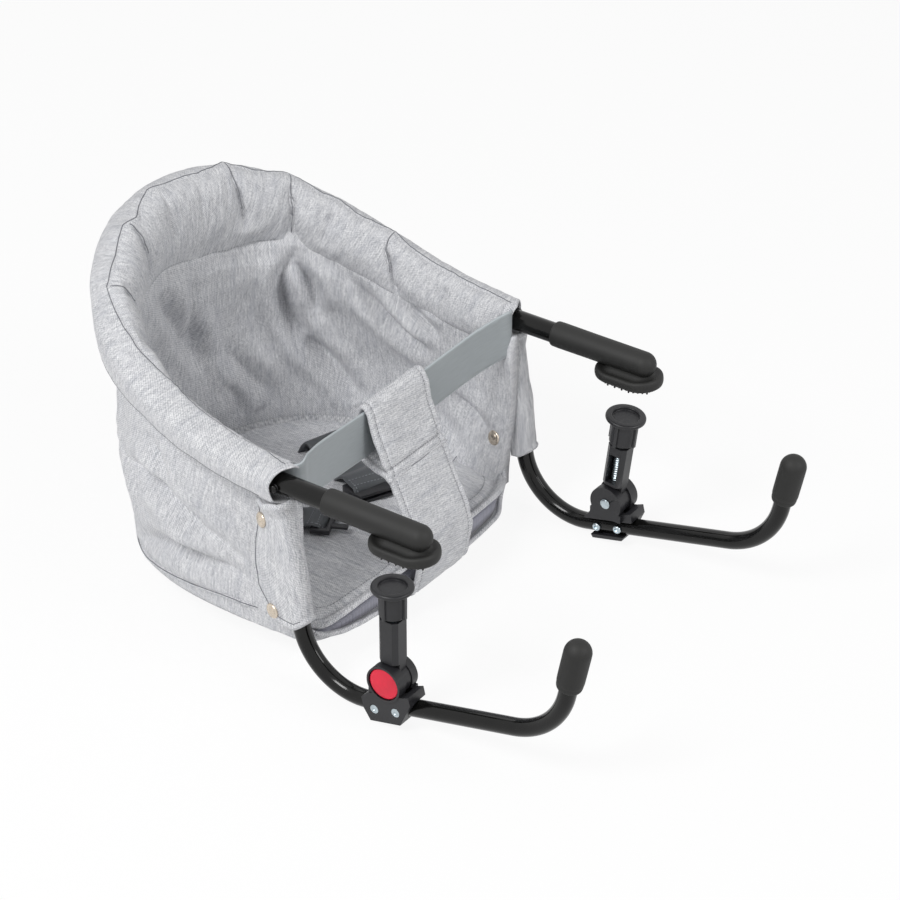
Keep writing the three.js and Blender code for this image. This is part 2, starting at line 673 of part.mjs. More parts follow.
// Clamp bracket: saddle, outer cheek and floor round the lower tube, with the two ears of the hub
function clampBracket() {
  const half = BRACKET_LENGTH / 2;
  const cheek = LEG_R + GAP + BRACKET_CHEEK;
  const floor = LEG_R + GAP + BRACKET_FLOOR;
  const lip = half + BRACKET_LIP;
  const profile = outlineOf([
    [-lip, BRACKET_TOP + BRACKET_LIP_RISE],
    [-lip, BRACKET_TOP - BRACKET_LIP],
    [-half, 0],
    [-half + CHEEK_CHAMFER, -floor],
    [half - CHEEK_CHAMFER / 2, -floor],
    [half, 0],
    [half, LEG_R + GAP + BRACKET_CHEEK / 2],
    [half - CHEEK_CHAMFER, BRACKET_TOP],
    [-half, BRACKET_TOP],
  ]);
  const saddle = extruded(profile, BRACKET_INNER + cheek);
  saddle.applyMatrix4(new THREE.Matrix4().makeBasis(point(0, 1, 0), point(0, 0, 1), point(1, 0, 0)));
  saddle.translate(-BRACKET_INNER, 0, 0);
  const bore = new THREE.CylinderGeometry(LEG_R + GAP, LEG_R + GAP, 4 * half, 16);
  const openSide = block(-2 * BRACKET_INNER, 0, -2 * half, 2 * half, -LEG_R - GAP, LEG_R + GAP);
  const shanks = screwPlaces().map((y) => rodX(0, 2 * cheek, SCREW_D + 2 * GAP, 10).translate(0, y, 0));
  const sinks = screwPlaces().map((y) =>
    rodX(cheek - SCREW_HEAD / 2, 2 * cheek, SCREW_HEAD_D + 2 * GAP, 10).translate(0, y, 0));
  const body = alongLower(cut(saddle, bore, openSide, ...shanks, ...sinks));

  const hub = (geometry) => geometry.translate(ARM_X, 0, HUB_Z);
  const foot = -HUB_HEIGHT + LEG_R + BRACKET_CHEEK;
  const boss = hub(join(
    rodX(EAR_INNER, BOSS_FACE, BOSS_D, 20),
    block(EAR_INNER, BOSS_FACE - BRACKET_CHEEK / 2, -BOSS_D / 2, BOSS_D / 2, foot, -BOSS_D / 4),
  ));
  const ear = hub(join(
    rodX(-EAR_FACE, -EAR_INNER, EAR_D, 20),
    block(-EAR_FACE, -EAR_INNER, -EAR_D / 2, EAR_D / 2, foot, -EAR_D / 4),
  ));
  const lugRoom = hub(rodX(-EAR_INNER, EAR_INNER, 2 * POST_ROOT + GAP, 20));
  const well = hub(rodX(wellFloor, 2 * BOSS_FACE, BUTTON_D + 2 * RUNNING_GAP, 20));
  const pinHole = hub(rodX(-2 * EAR_FACE, wellFloor + GAP, PIN_D + 2 * GAP, 14));
  const tubeRoom = alongLower(new THREE.CylinderGeometry(LEG_R + GAP, LEG_R + GAP, 4 * half, 16));
  return cut(join(cut(body, lugRoom), boss, ear), well, pinHole, tubeRoom);
}

// Screw through the cheek and the tube, with a domed cross head on the inner side of the tube
function clampScrew(y) {
  const cheek = LEG_R + GAP + BRACKET_CHEEK;
  const shank = rodX(-LEG_R - GAP - SCREW_HEAD / 2, cheek - GAP, SCREW_D, 8);
  const end = rodX(cheek - SCREW_HEAD / 2 + GAP, cheek, SCREW_HEAD_D, 10);
  const head = rodX(-LEG_R - GAP - SCREW_HEAD, -LEG_R - GAP, SCREW_HEAD_D, 10);
  const [deep, long, wide] = [-LEG_R - GAP - SCREW_HEAD / 2, SCREW_D / 2, SCREW_SLOT / 2];
  const level = block(-2 * LEG_R, deep, -long, long, -wide, wide);
  const upright = block(-2 * LEG_R, deep, -wide, wide, -long, long);
  return alongLower(cut(join(shank, end, head), level, upright).translate(0, y, 0));
}

function pivotPin() {
  const shank = rodX(-EAR_FACE - GAP - PIN_HEAD / 2, wellFloor - GAP, PIN_D, 14);
  const head = rodX(-EAR_FACE - GAP - PIN_HEAD, -EAR_FACE - GAP, PIN_HEAD_D, 14);
  return join(shank, head).translate(ARM_X, 0, HUB_Z);
}

function releaseButton() {
  const rim = BUTTON_D / 2;
  const top = BUTTON_THICKNESS + BUTTON_CROWN / 2;
  const edge = [[rim, BUTTON_THICKNESS - BUTTON_CROWN], [rim - BUTTON_CROWN, BUTTON_THICKNESS]];
  const profile = [[0, 0], [rim, 0], ...edge, [rim / 2, top], [0, top]];
  return turned(profile, 20).rotateY(Math.PI / 2).translate(ARM_X + buttonBack, 0, HUB_Z);
}

// Conical spring washer between the floor of the boss and the button
function buttonSpring() {
  const height = buttonBack - wellFloor - 2 * GAP;
  const [wide, narrow] = [BUTTON_D / 2 - SPRING_EDGE, PIN_D / 2 + SPRING_EDGE];
  const under = height - SPRING_WIRE;
  const profile = [[wide, 0], [wide, SPRING_WIRE], [narrow, height], [narrow, under], [wide, 0]];
  return turned(profile, 20).rotateY(Math.PI / 2).translate(ARM_X + wellFloor + GAP, 0, HUB_Z);
}

// Folding post with its lug between the ears, the spindle bore, the inner slot and the nut pocket
const atHub = (geometry, lean) => geometry.rotateX(lean).translate(ARM_X, 0, HUB_Z);

function foldingPost(lean) {
  const [w, d, c] = [POST_WIDTH / 2, POST_DEPTH / 2, POST_CHAMFER];
  const outline = outlineOf([
    [-w, -d + c], [-w + c, -d], [w - c, -d], [w, -d + c],
    [w, d - c], [w - c, d], [-w + c, d], [-w, d - c],
  ]);
  const column = extruded(outline, POST_TOP - POST_ROOT).translate(0, 0, POST_ROOT);
  const lug = join(
    rodX(-LUG_THICKNESS / 2, LUG_THICKNESS / 2, LUG_D, 20),
    block(-LUG_THICKNESS / 2, LUG_THICKNESS / 2, -d, d, 0, POST_ROOT + GAP),
  );
  const spindleRoom = rodZ(SPINDLE_FOOT - GAP, 2 * POST_TOP, SPINDLE_D + 2 * RUNNING_GAP, 14);
  const slotTop = POST_SLOT_FOOT + POST_SLOT_LENGTH;
  const slot = block(-2 * w, 0, -POST_SLOT_WIDTH / 2, POST_SLOT_WIDTH / 2, POST_SLOT_FOOT, slotTop);
  const nutPocket = rodZ(POST_TOP - NUT_HEIGHT - 2 * GAP, 2 * POST_TOP, NUT_D + 2 * GAP, 14);
  const eye = rodX(-POST_WIDTH, POST_WIDTH, PIN_D + 2 * RUNNING_GAP, 14);
  return atHub(cut(join(column, lug), spindleRoom, slot, nutPocket, eye), lean);
}

function spindleNut(lean) {
  const [outer, bore] = [NUT_D / 2, SPINDLE_D / 2 + RUNNING_GAP];
  const profile = [[bore, 0], [outer, 0], [outer, NUT_HEIGHT], [bore, NUT_HEIGHT], [bore, 0]];
  return atHub(turned(profile, 14).translate(0, 0, POST_TOP - NUT_HEIGHT - GAP), lean);
}

const footSole = POST_TOP + FOOT_SKIRT_LIFT;
const footTop = footSole + FOOT_HEIGHT;
const footBoreTop = footTop - FOOT_DISH - FOOT_FLANGE;

function screwSpindle(lean) {
  return atHub(rodZ(SPINDLE_FOOT, footBoreTop - GAP, SPINDLE_D, 14), lean);
}

function screwFoot(lean) {
  const [bore, skirt] = [SPINDLE_D / 2 + GAP, FOOT_SKIRT_D / 2];
  const [flange, dish] = [FOOT_FLANGE_D / 2, FOOT_DISH_D / 2];
  const flangeFoot = footTop - FOOT_FLANGE;
  const profile = [
    [0, footBoreTop], [bore, footBoreTop], [bore, footSole],
    [skirt, footSole], [skirt, flangeFoot - 2 * FOOT_ROUND],
    [flange - FOOT_ROUND, flangeFoot], [flange, footTop - FOOT_ROUND], [flange - FOOT_ROUND, footTop],
    [dish, footTop], [dish, footTop - FOOT_DISH], [0, footTop - FOOT_DISH],
  ];
  const ribs = [];
  for (let i = 0; i < FOOT_RIB_COUNT; i++) {
    const [inside, outside] = [skirt - FOOT_RIB, skirt + FOOT_RIB];
    const rib = block(inside, outside, -FOOT_RIB, FOOT_RIB, footSole, flangeFoot + FOOT_FLANGE / 2);
    ribs.push(rib.rotateZ((2 * Math.PI * i) / FOOT_RIB_COUNT));
  }
  return atHub(join(turned(profile, 18), ...ribs), lean);
}

// Padded sleeve round the rim, pinched at its cross seams and notched over the yokes
function sleeveBody(radius, pinch) {
  const path = new RimPath(SLEEVE_MOUTH_Y);
  const rings = [];
  for (let i = 0; i <= SLEEVE_STEPS; i++) {
    const t = i / SLEEVE_STEPS;
    const near = Math.min(...SLEEVE_SEAMS.map((seam) => Math.abs(2 * t - 1 - seam)));
    const tuck = pinch * (1 - smooth(0, SLEEVE_PINCH_REACH, near));
    rings.push(ringAbout(path.station(path.getUtoTmapping(t)), radius - tuck, SLEEVE_SIDES));
  }
  return loft(rings);
}

// The sleeve with its clearance, to shape what is sewn against it
const sleeveRoom = () => sleeveBody(SLEEVE_R + CLOTH_GAP, 0);

function rimSleeve() {
  const padding = sleeveBody(SLEEVE_R, SLEEVE_PINCH);
  const bore = bar(frameStations(), FRAME_R + SLEEVE_EASE, FRAME_SIDES);
  const room = Math.max(yokeHalf + GAP + RIVET_HEAD, Math.hypot(yokeHalf, YOKE_WIDTH / 2)) + 2 * CLOTH_GAP;
  const notches = [-1, 1].map((side) => {
    const hollow = new THREE.CylinderGeometry(room, room, 2 * SLEEVE_NOTCH, 16);
    const below = block(-room, room, -SLEEVE_NOTCH, SLEEVE_NOTCH, -2 * SLEEVE_R, 0);
    return join(hollow, below).translate(side * ARM_X, SLEEVE_MOUTH_Y, ARM_Z);
  });
  return cut(padding, bore, ...notches);
}

// Room for the yokes to turn in
function yokeSweeps() {
  const reach = Math.hypot(FRAME_R + YOKE_ROOM + YOKE_FLOOR, YOKE_WIDTH / 2) + CLOTH_GAP;
  const half = yokeHalf + GAP + RIVET_HEAD + CLOTH_GAP;
  return [-1, 1].map((side) => rodX(-half, half, 2 * reach, 16).translate(side * ARM_X, PIVOT_Y, ARM_Z));
}

// Padded band inside the wall, hanging from the sleeve
function bandDepth(share) {
  return THREE.MathUtils.lerp(BAND_DEPTH_SIDE, BAND_DEPTH_BACK, smooth(...BAND_DEEPENS, share));
}

// Share of the way down the wall that the band reaches
function bandShare(s) {
  const { share } = wallPlan(s);
  return bandDepth(share) / (wallTop(share) - WALL_FOOT_Z);
}

// Points along each fold line of a face
function foldRuns(lines) {
  return lines.map((line) => {
    const curve = new THREE.CatmullRomCurve3(line.map((place) => flatWall(...place)));
    return curve.getSpacedPoints(FOLD_POINTS);
  });
}

// How far the folds draw a face out at a place: a valley along each line, with a swell on both its sides
function foldDepth(runs, s, v) {
  const top = bandShare(s);
  const free = smooth(top, top + FOLD_TOP, v) * (1 - smooth(...FOLD_FOOT, v));
  const room = free * (1 - smooth(...FOLD_FRONT, Math.abs(s)));
  if (room === 0) return 0;
  const here = flatWall(s, v);
  const bell = (gap) => Math.exp(-((gap / FOLD_WIDTH) ** 2));
  const drawn = runs.map((run) => {
    const gaps = run.map((place) => place.distanceTo(here));
    const gap = Math.min(...gaps);
    const fade = Math.sin((Math.PI * gaps.indexOf(gap)) / FOLD_POINTS) ** FOLD_FADE;
    return fade * (FOLD_SWELL * bell(gap - 2 * FOLD_WIDTH) - bell(gap));
  });
  return FOLD_DEPTH * room * drawn.reduce((sum, part) => sum + part, 0);
}

// Outer wall of the bucket, swelling between the rim and the seat base and hanging in folds
function seatWall() {
  const [inside, outside] = [foldRuns(INNER_FOLDS), foldRuns(OUTER_FOLDS)];
  const middle = (u, v) => {
    const s = 2 * u - 1;
    return wallPoint(s, v, (foldDepth(outside, s, v) - foldDepth(inside, s, v)) / 2);
  };
  const padding = (u, v) => {
    const s = 2 * u - 1;
    return Math.max(WALL_LEAST, WALL_THICKNESS + foldDepth(outside, s, v) + foldDepth(inside, s, v));
  };
  return cut(sheet(middle, WALL_STEPS, WALL_ROWS, padding), sleeveRoom(), ...yokeSweeps());
}

function innerBand() {
  const inset = -(WALL_THICKNESS + BAND_THICKNESS) / 2 - BAND_STAND;
  const steps = WALL_STEPS - 2;
  const surface = (u, v) => {
    const s = (steps / WALL_STEPS) * (2 * u - 1);
    return wallPoint(s, v * bandShare(s), inset);
  };
  const plump = (u, v) => BAND_THICKNESS * (1 - BAND_EDGE * Math.abs(2 * v - 1) ** 3);
  return cut(sheet(surface, steps, BAND_ROWS, plump), sleeveRoom());
}

// Plan of the seat base, offset outwards from the wall's middle, with rounded front corners
function seatOutline(offset) {
  const points = [];
  const count = SEAT_STEPS;
  const half = WALL_HALF + offset;
  const back = WALL_DEPTH + offset;
  for (let i = 0; i <= count; i++) {
    const angle = Math.PI * (i / count);
    const share = Math.sin(angle);
    const side = i * 2 < count ? 1 : -1;
    points.push(new THREE.Vector2(side * planHalf(half, share), RIM_START_Y + back * share));
  }
  const front = SEAT_FRONT_Y - Math.min(0, offset) / 2;
  for (let i = 1; i < count; i++) {
    const angle = Math.PI * (i / count);
    const x = -half * Math.cos(angle);
    const y = RIM_START_Y - (RIM_START_Y - front) * Math.sin(angle) ** (1 / SEAT_CORNER_ROUND);
    points.push(new THREE.Vector2(x, y));
  }
  return points;
}

function seatPanel(offset, bottom, thickness) {
  return extruded(new THREE.Shape(seatOutline(offset)), thickness).translate(0, 0, bottom);
}

// Height of the crowned cushion at a share of the way from its middle to its edge
function cushionTop(share) {
  return CUSHION_Z + CUSHION_EDGE * (1 - smooth(...CUSHION_ROLL, share)) + CUSHION_CROWN * (1 - share ** 2);
}

const CUSHION_OFFSET = -WALL_THICKNESS / 2 - CUSHION_CLEARANCE;
const cushionMiddle = point(0, (RIM_START_Y + WALL_DEPTH + SEAT_FRONT_Y) / 2, 0);

function seatCushion() {
  const outline = seatOutline(CUSHION_OFFSET);
  const ring = (share, z) => outline.map((p) =>
    point(p.x * share, cushionMiddle.y + (p.y - cushionMiddle.y) * share, z));
  const rings = CUSHION_RINGS.map((share) => ring(share, cushionTop(share)));
  return loft([ring(CUSHION_TUCK, CUSHION_Z), ring(1, CUSHION_Z + CUSHION_EDGE / 3), ...rings]);
}

// Surface of the cushion under a point of the plan
function cushionHeight(x, y) {
  const across = Math.abs(x) / (WALL_HALF + CUSHION_OFFSET);
  const along = Math.abs(y - cushionMiddle.y) / (cushionMiddle.y - SEAT_FRONT_Y);
  return cushionTop(Math.max(across, along) * 0.8);
}

// Flap of cloth that wraps the lower tube from the wall round to the outside
const flapInner = ARM_X - LEG_R - CLOTH_GAP - FLAP_THICKNESS / 2;
const flapOuter = ARM_X + LEG_R + CLOTH_GAP + FLAP_THICKNESS / 2;

// How far the outer leaf leans back to the wall towards its free edge
const flapTuck = (y) => FLAP_TAPER * smooth(FLAP_FLAT, 1, Math.max(0, y) / FLAP_REACH);

function flapSection(u) {
  const round = (flapOuter - flapInner) / 2;
  const lengths = [FLAP_INNER_REACH + FLAP_LEAD - round, Math.PI * round, FLAP_LEAD - round + FLAP_REACH];
  const total = lengths[0] + lengths[1] + lengths[2];
  const run = u * total;
  if (run < lengths[0]) return { x: flapInner, y: FLAP_INNER_REACH - run };
  if (run < lengths[0] + lengths[1]) {
    const angle = (run - lengths[0]) / round;
    return { x: ARM_X - round * Math.cos(angle), y: -FLAP_LEAD + round - round * Math.sin(angle) };
  }
  const y = -FLAP_LEAD + round + run - lengths[0] - lengths[1];
  return { x: flapOuter - flapTuck(y), y };
}

function legFlap() {
  const surface = (u, v) => {
    const { x, y } = flapSection(u);
    const behind = Math.max(0, y) / FLAP_REACH;
    const outside = x > ARM_X ? 1 : 0;
    const top = -FLAP_TOP_DROP - FLAP_TAPER * behind * outside;
    const bottom = -FLAP_BOTTOM_DROP + FLAP_HEM_ROUND * behind ** 3 * outside;
    return point(x - ARM_X, y, THREE.MathUtils.lerp(top, bottom, v));
  };
  return alongLeg(sheet(surface, 16, 4, FLAP_THICKNESS));
}

// A snap button: short stem and domed head, its seat at the origin and its dome along +X
function snap() {
  const rim = SNAP_D / 2;
  const edge = SNAP_DOME / 3;
  const dome = domeProfile(rim, SNAP_DOME - edge, 3).map(([r, h]) => [r, h + edge]);
  return turned([[0, 0], [rim - edge, 0], ...dome], 10).rotateY(Math.PI / 2);
}

// Snap on the outer leaf of the flap, square to the cloth near its free edge
function flapSnap(drop) {
  const y = FLAP_REACH - SNAP_SIDE_INSET;
  const x = flapOuter - ARM_X - flapTuck(y);
  const slope = (flapTuck(y + 1) - flapTuck(y - 1)) / 2;
  const stand = FLAP_THICKNESS / 2 + CLOTH_GAP;
  return alongLeg(snap().translate(stand, 0, 0).rotateZ(Math.atan(slope)).translate(x, y, -drop));
}

function wallSnap() {
  const place = wallPoint(...WALL_SNAP_PLACE, -WALL_THICKNESS / 2 - GAP);
  return snap().rotateZ(Math.PI).translate(place.x, place.y, place.z);
}

// Straps: front webbing between the arms, crotch strap folded over it, and the lap belt on the cushion
const webbingEndX = ARM_X - SLEEVE_R - CLOTH_GAP;
const webbingHang = (x) => 1 - (x / webbingEndX) ** 2;
const webbingEndTop = ARM_Z + WEBBING_WIDTH / 2 - WEBBING_END_DROP;
const webbingY = (x) => WEBBING_END_Y + WEBBING_BOW * webbingHang(x);
const webbingTop = (x) => webbingEndTop - WEBBING_SAG * webbingHang(x);

function frontWebbing() {
  const surface = (u, v) => {
    const x = THREE.MathUtils.lerp(-webbingEndX, webbingEndX, u);
    return point(x, webbingY(x), webbingTop(x) - WEBBING_WIDTH * v);
  };
  return sheet(surface, 16, 2, WEBBING_THICKNESS);
}

// Crotch strap in side view: up behind the webbing, over it, down to the front edge of the seat and under
function crotchPath() {
  const stand = (WEBBING_THICKNESS + CROTCH_THICKNESS) / 2 + CROTCH_LOOP;
  const fold = webbingTop(0) + CROTCH_THICKNESS / 2 + CROTCH_LOOP;
  const middle = webbingY(0);
  const foot = webbingTop(0) - WEBBING_WIDTH - CROTCH_LOOP;
  const clear = (CROTCH_THICKNESS + CROTCH_LOOP) / 2;
  const under = SEAT_Z - clear;
  const front = SEAT_FRONT_Y - clear;
  const reach = middle - front;
  const rise = fold - under;
  const fall = CROTCH_FALL.map(([ahead, down]) => point(0, middle - ahead * reach, fold - down * rise));
  return new THREE.CatmullRomCurve3([
    point(0, middle - CROTCH_STITCH * reach, foot - CROTCH_THICKNESS),
    point(0, middle, foot - CROTCH_THICKNESS),
    point(0, middle + stand, foot + stand),
    point(0, middle + stand, fold - stand),
    point(0, middle, fold),
    point(0, middle - stand, fold - stand),
    ...fall,
    point(0, front - CROTCH_THICKNESS / 2, under + CROTCH_THICKNESS),
    point(0, front + CROTCH_THICKNESS / 3, under - CLOTH_GAP),
    point(0, front + CROTCH_UNDER / 3, under - CLOTH_GAP),
    point(0, front + CROTCH_UNDER, under),
  ], false, 'centripetal');
}

function crotchStrap() {
  const path = crotchPath();
  const surface = (u, v) => path.getPointAt(v).setX(CROTCH_WIDTH * (u - 0.5));
  const plump = (u) => CROTCH_THICKNESS * (1 - CROTCH_EDGE * Math.abs(2 * u - 1) ** 3);
  return sheet(surface, 4, 32, plump);
}

// Lap belt half lying on the cushion from the back corner to the buckle
const beltHalfPath = new THREE.QuadraticBezierCurve(
  new THREE.Vector2(BELT_REAR_X, BELT_REAR_Y),
  new THREE.Vector2(BELT_REAR_X * BELT_CURVE, (BELT_REAR_Y + BELT_FRONT_Y) / 2),
  new THREE.Vector2(BELT_FRONT_X, BELT_FRONT_Y),
);
const beltLift = BELT_THICKNESS / 2 + CLOTH_GAP;

function lapBelt() {
  const surface = (u, v) => {
    const place = beltHalfPath.getPoint(v);
    const ahead = beltHalfPath.getTangent(v);
    const side = BELT_WIDTH * (u - 0.5);
    const [x, y] = [place.x - ahead.y * side, place.y + ahead.x * side];
    return point(x, y, cushionHeight(place.x, place.y) + beltLift);
  };
  return sheet(surface, 2, 12, BELT_THICKNESS);
}

// Places a piece made at the origin, its front along -Y, at a share of the belt's run
function onBelt(geometry, share, lift) {
  const place = beltHalfPath.getPoint(share);
  const ahead = beltHalfPath.getTangent(share);
  const turn = Math.atan2(ahead.x, -ahead.y);
  return geometry.rotateZ(turn).translate(place.x, place.y, cushionHeight(place.x, place.y) + lift);
}

function buckleSocket() {
  const [w, l, t] = [BUCKLE_WIDTH / 2, BUCKLE_LENGTH, BUCKLE_THICKNESS];
  const c = BUCKLE_CORNER;
  const outline = outlineOf([[-w + c, -l], [w - c, -l], [w, -l / 2], [w, 0], [-w, 0], [-w, -l / 2]]);
  const inside = w - BUCKLE_WALL;
  const mouth = block(-inside, inside, -2 * l, -l / 3, t / 3, (2 * t) / 3);
  const body = extruded(outline, t);
  return onBelt(cut(body, mouth).translate(0, -GAP, 0), 1, CLOTH_GAP);
}

function buckleTongue() {
  const [w, l, t] = [BUCKLE_WIDTH / 2, TONGUE_LENGTH, BUCKLE_THICKNESS];
  const [half, middle] = [PRONG_WIDTH / 2, w - BUCKLE_WALL - PRONG_WIDTH / 2 - GAP];
  const [foot, top] = [t / 3 + GAP, (2 * t) / 3 - GAP];
  const prong = (side) =>
    block(side * middle - half, side * middle + half, -l - PRONG_REACH, -l / 2, foot, top);
  const body = join(block(-w, w, -l, 0, 0, t), prong(-1), prong(1));
  return onBelt(body.translate(0, -GAP, 0), 1, CLOTH_GAP);
}

// Three-bar slide lying on the belt
function beltSlider() {
  const [w, l, t, b] = [SLIDER_WIDTH / 2, SLIDER_LENGTH / 2, SLIDER_THICKNESS, SLIDER_BAR];
  const frame = block(-w, w, -l, l, 0, t);
  const windows = [-1, 1].map((side) => {
    const edges = [side * b / 2, side * (l - b)];
    return block(-w + b, w - b, Math.min(...edges), Math.max(...edges), -t, 2 * t);
  });
  return onBelt(cut(frame, ...windows), SLIDER_SHARE, BELT_THICKNESS + 2 * CLOTH_GAP);
}

// Snap on the seat cover behind its front edge
function seatSnap() {
  const y = cushionMiddle.y - SEAT_SNAP_SHARE * (cushionMiddle.y - SEAT_FRONT_Y);
  return snap().rotateY(-Math.PI / 2).translate(SEAT_SNAP_X, y, cushionTop(SEAT_SNAP_SHARE) + CLOTH_GAP);
}

// Finishes
function finish(color, roughness, metalness) {
  return new THREE.MeshStandardMaterial({ color, roughness, metalness });
}

const enamel = () => finish(0x16150f, 0.28, 0.4);
const rubber = () => finish(0x33332f, 0.8, 0);
const plastic = () => finish(0x1b1b1d, 0.55, 0);
const zinc = () => finish(0xb9c6cc, 0.35, 0.9);
const red = () => finish(0xe81c46, 0.4, 0);
const melange = () => finish(0xc9ccd2, 0.95, 0);
const satin = () => finish(0x92999b, 0.6, 0);
const belting = () => finish(0x44474a, 0.8, 0);
const nickel = () => finish(0xb7ab98, 0.35, 0.9);
const fibre = () => finish(0x6f5b45, 0.9, 0);

const chair = new THREE.Group();

function add(name, geometry, material) {
  const mesh = new THREE.Mesh(tidy(geometry), material);
  mesh.name = name;
  chair.add(mesh);
}

// A piece made for the child's left, and its mirror image on the right
function addPair(name, build, material) {
  add(`left_${name}`, build(), material());
  add(`right_${name}`, mirrored(build()), material());
}

// The same for what stands on the folding posts: the left post leans forward as it is left half folded
function addPostPair(name, build, material) {
  add(`left_${name}`, build(LEFT_POST_LEAN), material());
  add(`right_${name}`, mirrored(build(0)), material());
}

add('seat_frame_tube', frameTube(), enamel());
addPair('arm_grip', armGrip, rubber);
addPair('grip_sole', gripSole, rubber);
addPair('leg_tube', legTube, enamel);
addPair('tip_cap', tipCap, rubber);
addPair('pivot_yoke', pivotYoke, plastic);
addPair('pivot_rivet', pivotRivet, zinc);
addPair('clamp_bracket', clampBracket, plastic);
addPair('rear_clamp_screw', () => clampScrew(SCREW_SPACING / 2), zinc);
addPair('front_clamp_screw', () => clampScrew(-SCREW_SPACING / 2), zinc);
addPair('hub_pin', pivotPin, zinc);
addPair('release_button', releaseButton, red);
addPair('button_spring', buttonSpring, zinc);
addPostPair('folding_post', foldingPost, plastic);
addPostPair('spindle_nut', spindleNut, zinc);
addPostPair('screw_spindle', screwSpindle, zinc);
addPostPair('screw_foot', screwFoot, plastic);

add('rim_sleeve', rimSleeve(), melange());
add('seat_wall', seatWall(), melange());
add('inner_band', innerBand(), melange());
add('seat_base', seatPanel(WALL_THICKNESS / 2 + BASE_HEM, SEAT_Z, BASE_THICKNESS), melange());
add('seat_board', seatPanel(-BOARD_INSET, BOARD_Z, BOARD_THICKNESS), fibre());
add('seat_cushion', seatCushion(), melange());
addPair('leg_flap', legFlap, melange);
add('front_webbing', frontWebbing(), satin());
add('crotch_strap', crotchStrap(), melange());
addPair('lap_belt', lapBelt, belting);
add('left_buckle_socket', buckleSocket(), plastic());
add('right_buckle_tongue', mirrored(buckleTongue()), plastic());
add('right_belt_slider', mirrored(beltSlider()), plastic());
addPair('upper_flap_snap', () => flapSnap(FLAP_TOP_DROP + SNAP_TOP_INSET), nickel);
addPair('lower_flap_snap', () => flapSnap(FLAP_BOTTOM_DROP - SNAP_FOOT_INSET), nickel);
addPair('wall_snap', wallSnap, nickel);
addPair('seat_snap', seatSnap, nickel);

export default chair;
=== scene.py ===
"""Looks of a hook-on table chair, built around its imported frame.

The cloth bucket, the tubes, the grips, the folding clamps and the straps are made in the frame's own place.
Lengths in the code are millimetres unless a name says otherwise, and the meshes are in metres.
"""
import math

import bmesh
import bpy
import numpy as np
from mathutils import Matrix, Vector, noise


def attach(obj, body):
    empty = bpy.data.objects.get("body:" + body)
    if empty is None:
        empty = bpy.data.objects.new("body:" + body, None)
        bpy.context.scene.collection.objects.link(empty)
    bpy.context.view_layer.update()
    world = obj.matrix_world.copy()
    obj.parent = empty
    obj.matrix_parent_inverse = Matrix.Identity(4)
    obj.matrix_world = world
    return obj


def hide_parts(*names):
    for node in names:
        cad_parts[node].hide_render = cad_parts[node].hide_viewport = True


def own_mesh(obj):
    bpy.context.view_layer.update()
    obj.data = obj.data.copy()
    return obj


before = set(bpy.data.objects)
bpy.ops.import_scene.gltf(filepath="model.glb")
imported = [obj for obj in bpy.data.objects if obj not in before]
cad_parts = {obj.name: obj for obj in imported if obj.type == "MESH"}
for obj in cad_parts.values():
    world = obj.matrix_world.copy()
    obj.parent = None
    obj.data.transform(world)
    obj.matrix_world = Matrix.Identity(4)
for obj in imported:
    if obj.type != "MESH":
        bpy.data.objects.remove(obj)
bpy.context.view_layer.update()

bl_info = {
    "name": "Hook-on table chair",
    "version": (1, 0, 0),
    "blender": (4, 5, 0),
    "location": "View3D > Sidebar > Table chair",
    "description": "Builds a child's seat that hooks on the edge of a table",
    "category": "Add Mesh",
}

MM = 0.001
SIDES = {"left": 1, "right": -1}

# Seat frame tube
ARM_X, ARM_Z, FRAME_R = 171, 23, 9.5
ARM_FRONT_Y, RIM_START_Y, RIM_DEPTH, RIM_RISE, RIM_ROUNDNESS = -25, 119.5, 263, 111.6, 3.9
GRIP_R, GRIP_REAR_Y = 11.8, 66.5
SOLE_HALF, SOLE_LENGTH, SOLE_MIDDLE_Y, NUB_PITCH = 21, 66, -13, 3.7

# Lower tubes
LEG_R, PIVOT_Y, LEG_LEAN = 8, 115.5, math.radians(7)
LOWER_Z, LOWER_SLOPE = -158.9, math.radians(13.66)
FRONT_CORNER_Y, TIP_LEAN, TIP_LENGTH = -167.4, math.radians(11.5), 104.4
REAR_BEND_R, FRONT_BEND_R = 60, 70
LEG_TOP_DROP, TIP_RUN = 21.3, 92.1
CAP_R, CAP_LENGTH, CAP_BORE_DEPTH = 12, 50, 38

# Clamps
HUB_Z, EAR_INNER, EAR_FACE, BOSS_FACE = -129.9, 4.8, 12.8, 15.3
BOSS_D, EAR_D, LUG_D = 34.5, 33, 31
BUTTON_R, BUTTON_BACK, WELL_FLOOR = 15, 10.3, 7.5
POST_LEAN = {"left": math.radians(7), "right": 0}
POST_ROOT, POST_TOP, SPINDLE_FOOT, SPINDLE_R = 19, 62, 21, 5
FOOT_SOLE, FOOT_BORE_TOP = 64.2, 87.2

# Seat cloth
WALL_HALF, WALL_DEPTH, WALL_FRONT_Y = 157.6, 249.6, 101
SLEEVE_MOUTH_Y = 107
SEAT_FRONT_Y, SEAT_Z, SEAT_CORNER_ROUND = 77.5, -146, 2.6
WALL_FOOT_Z, BASE_TOP_Z, FLOOR_Z = -143, -142, -176
CUSHION_Z, CUSHION_EDGE, CUSHION_CROWN, CUSHION_OFFSET = -138.4, 12, 9, -4.5
FLAP_LEAD, FLAP_REACH, FLAP_INNER_REACH, FLAP_TAPER = 12, 42, 9, 6
FLAP_COVER_DROP, FLAP_BOTTOM_DROP, FLAP_HEM_ROUND = 13, 141, 38
WEBBING_WIDTH, CROTCH_WIDTH, CROTCH_THICKNESS, BELT_WIDTH = 47, 84, 4, 38

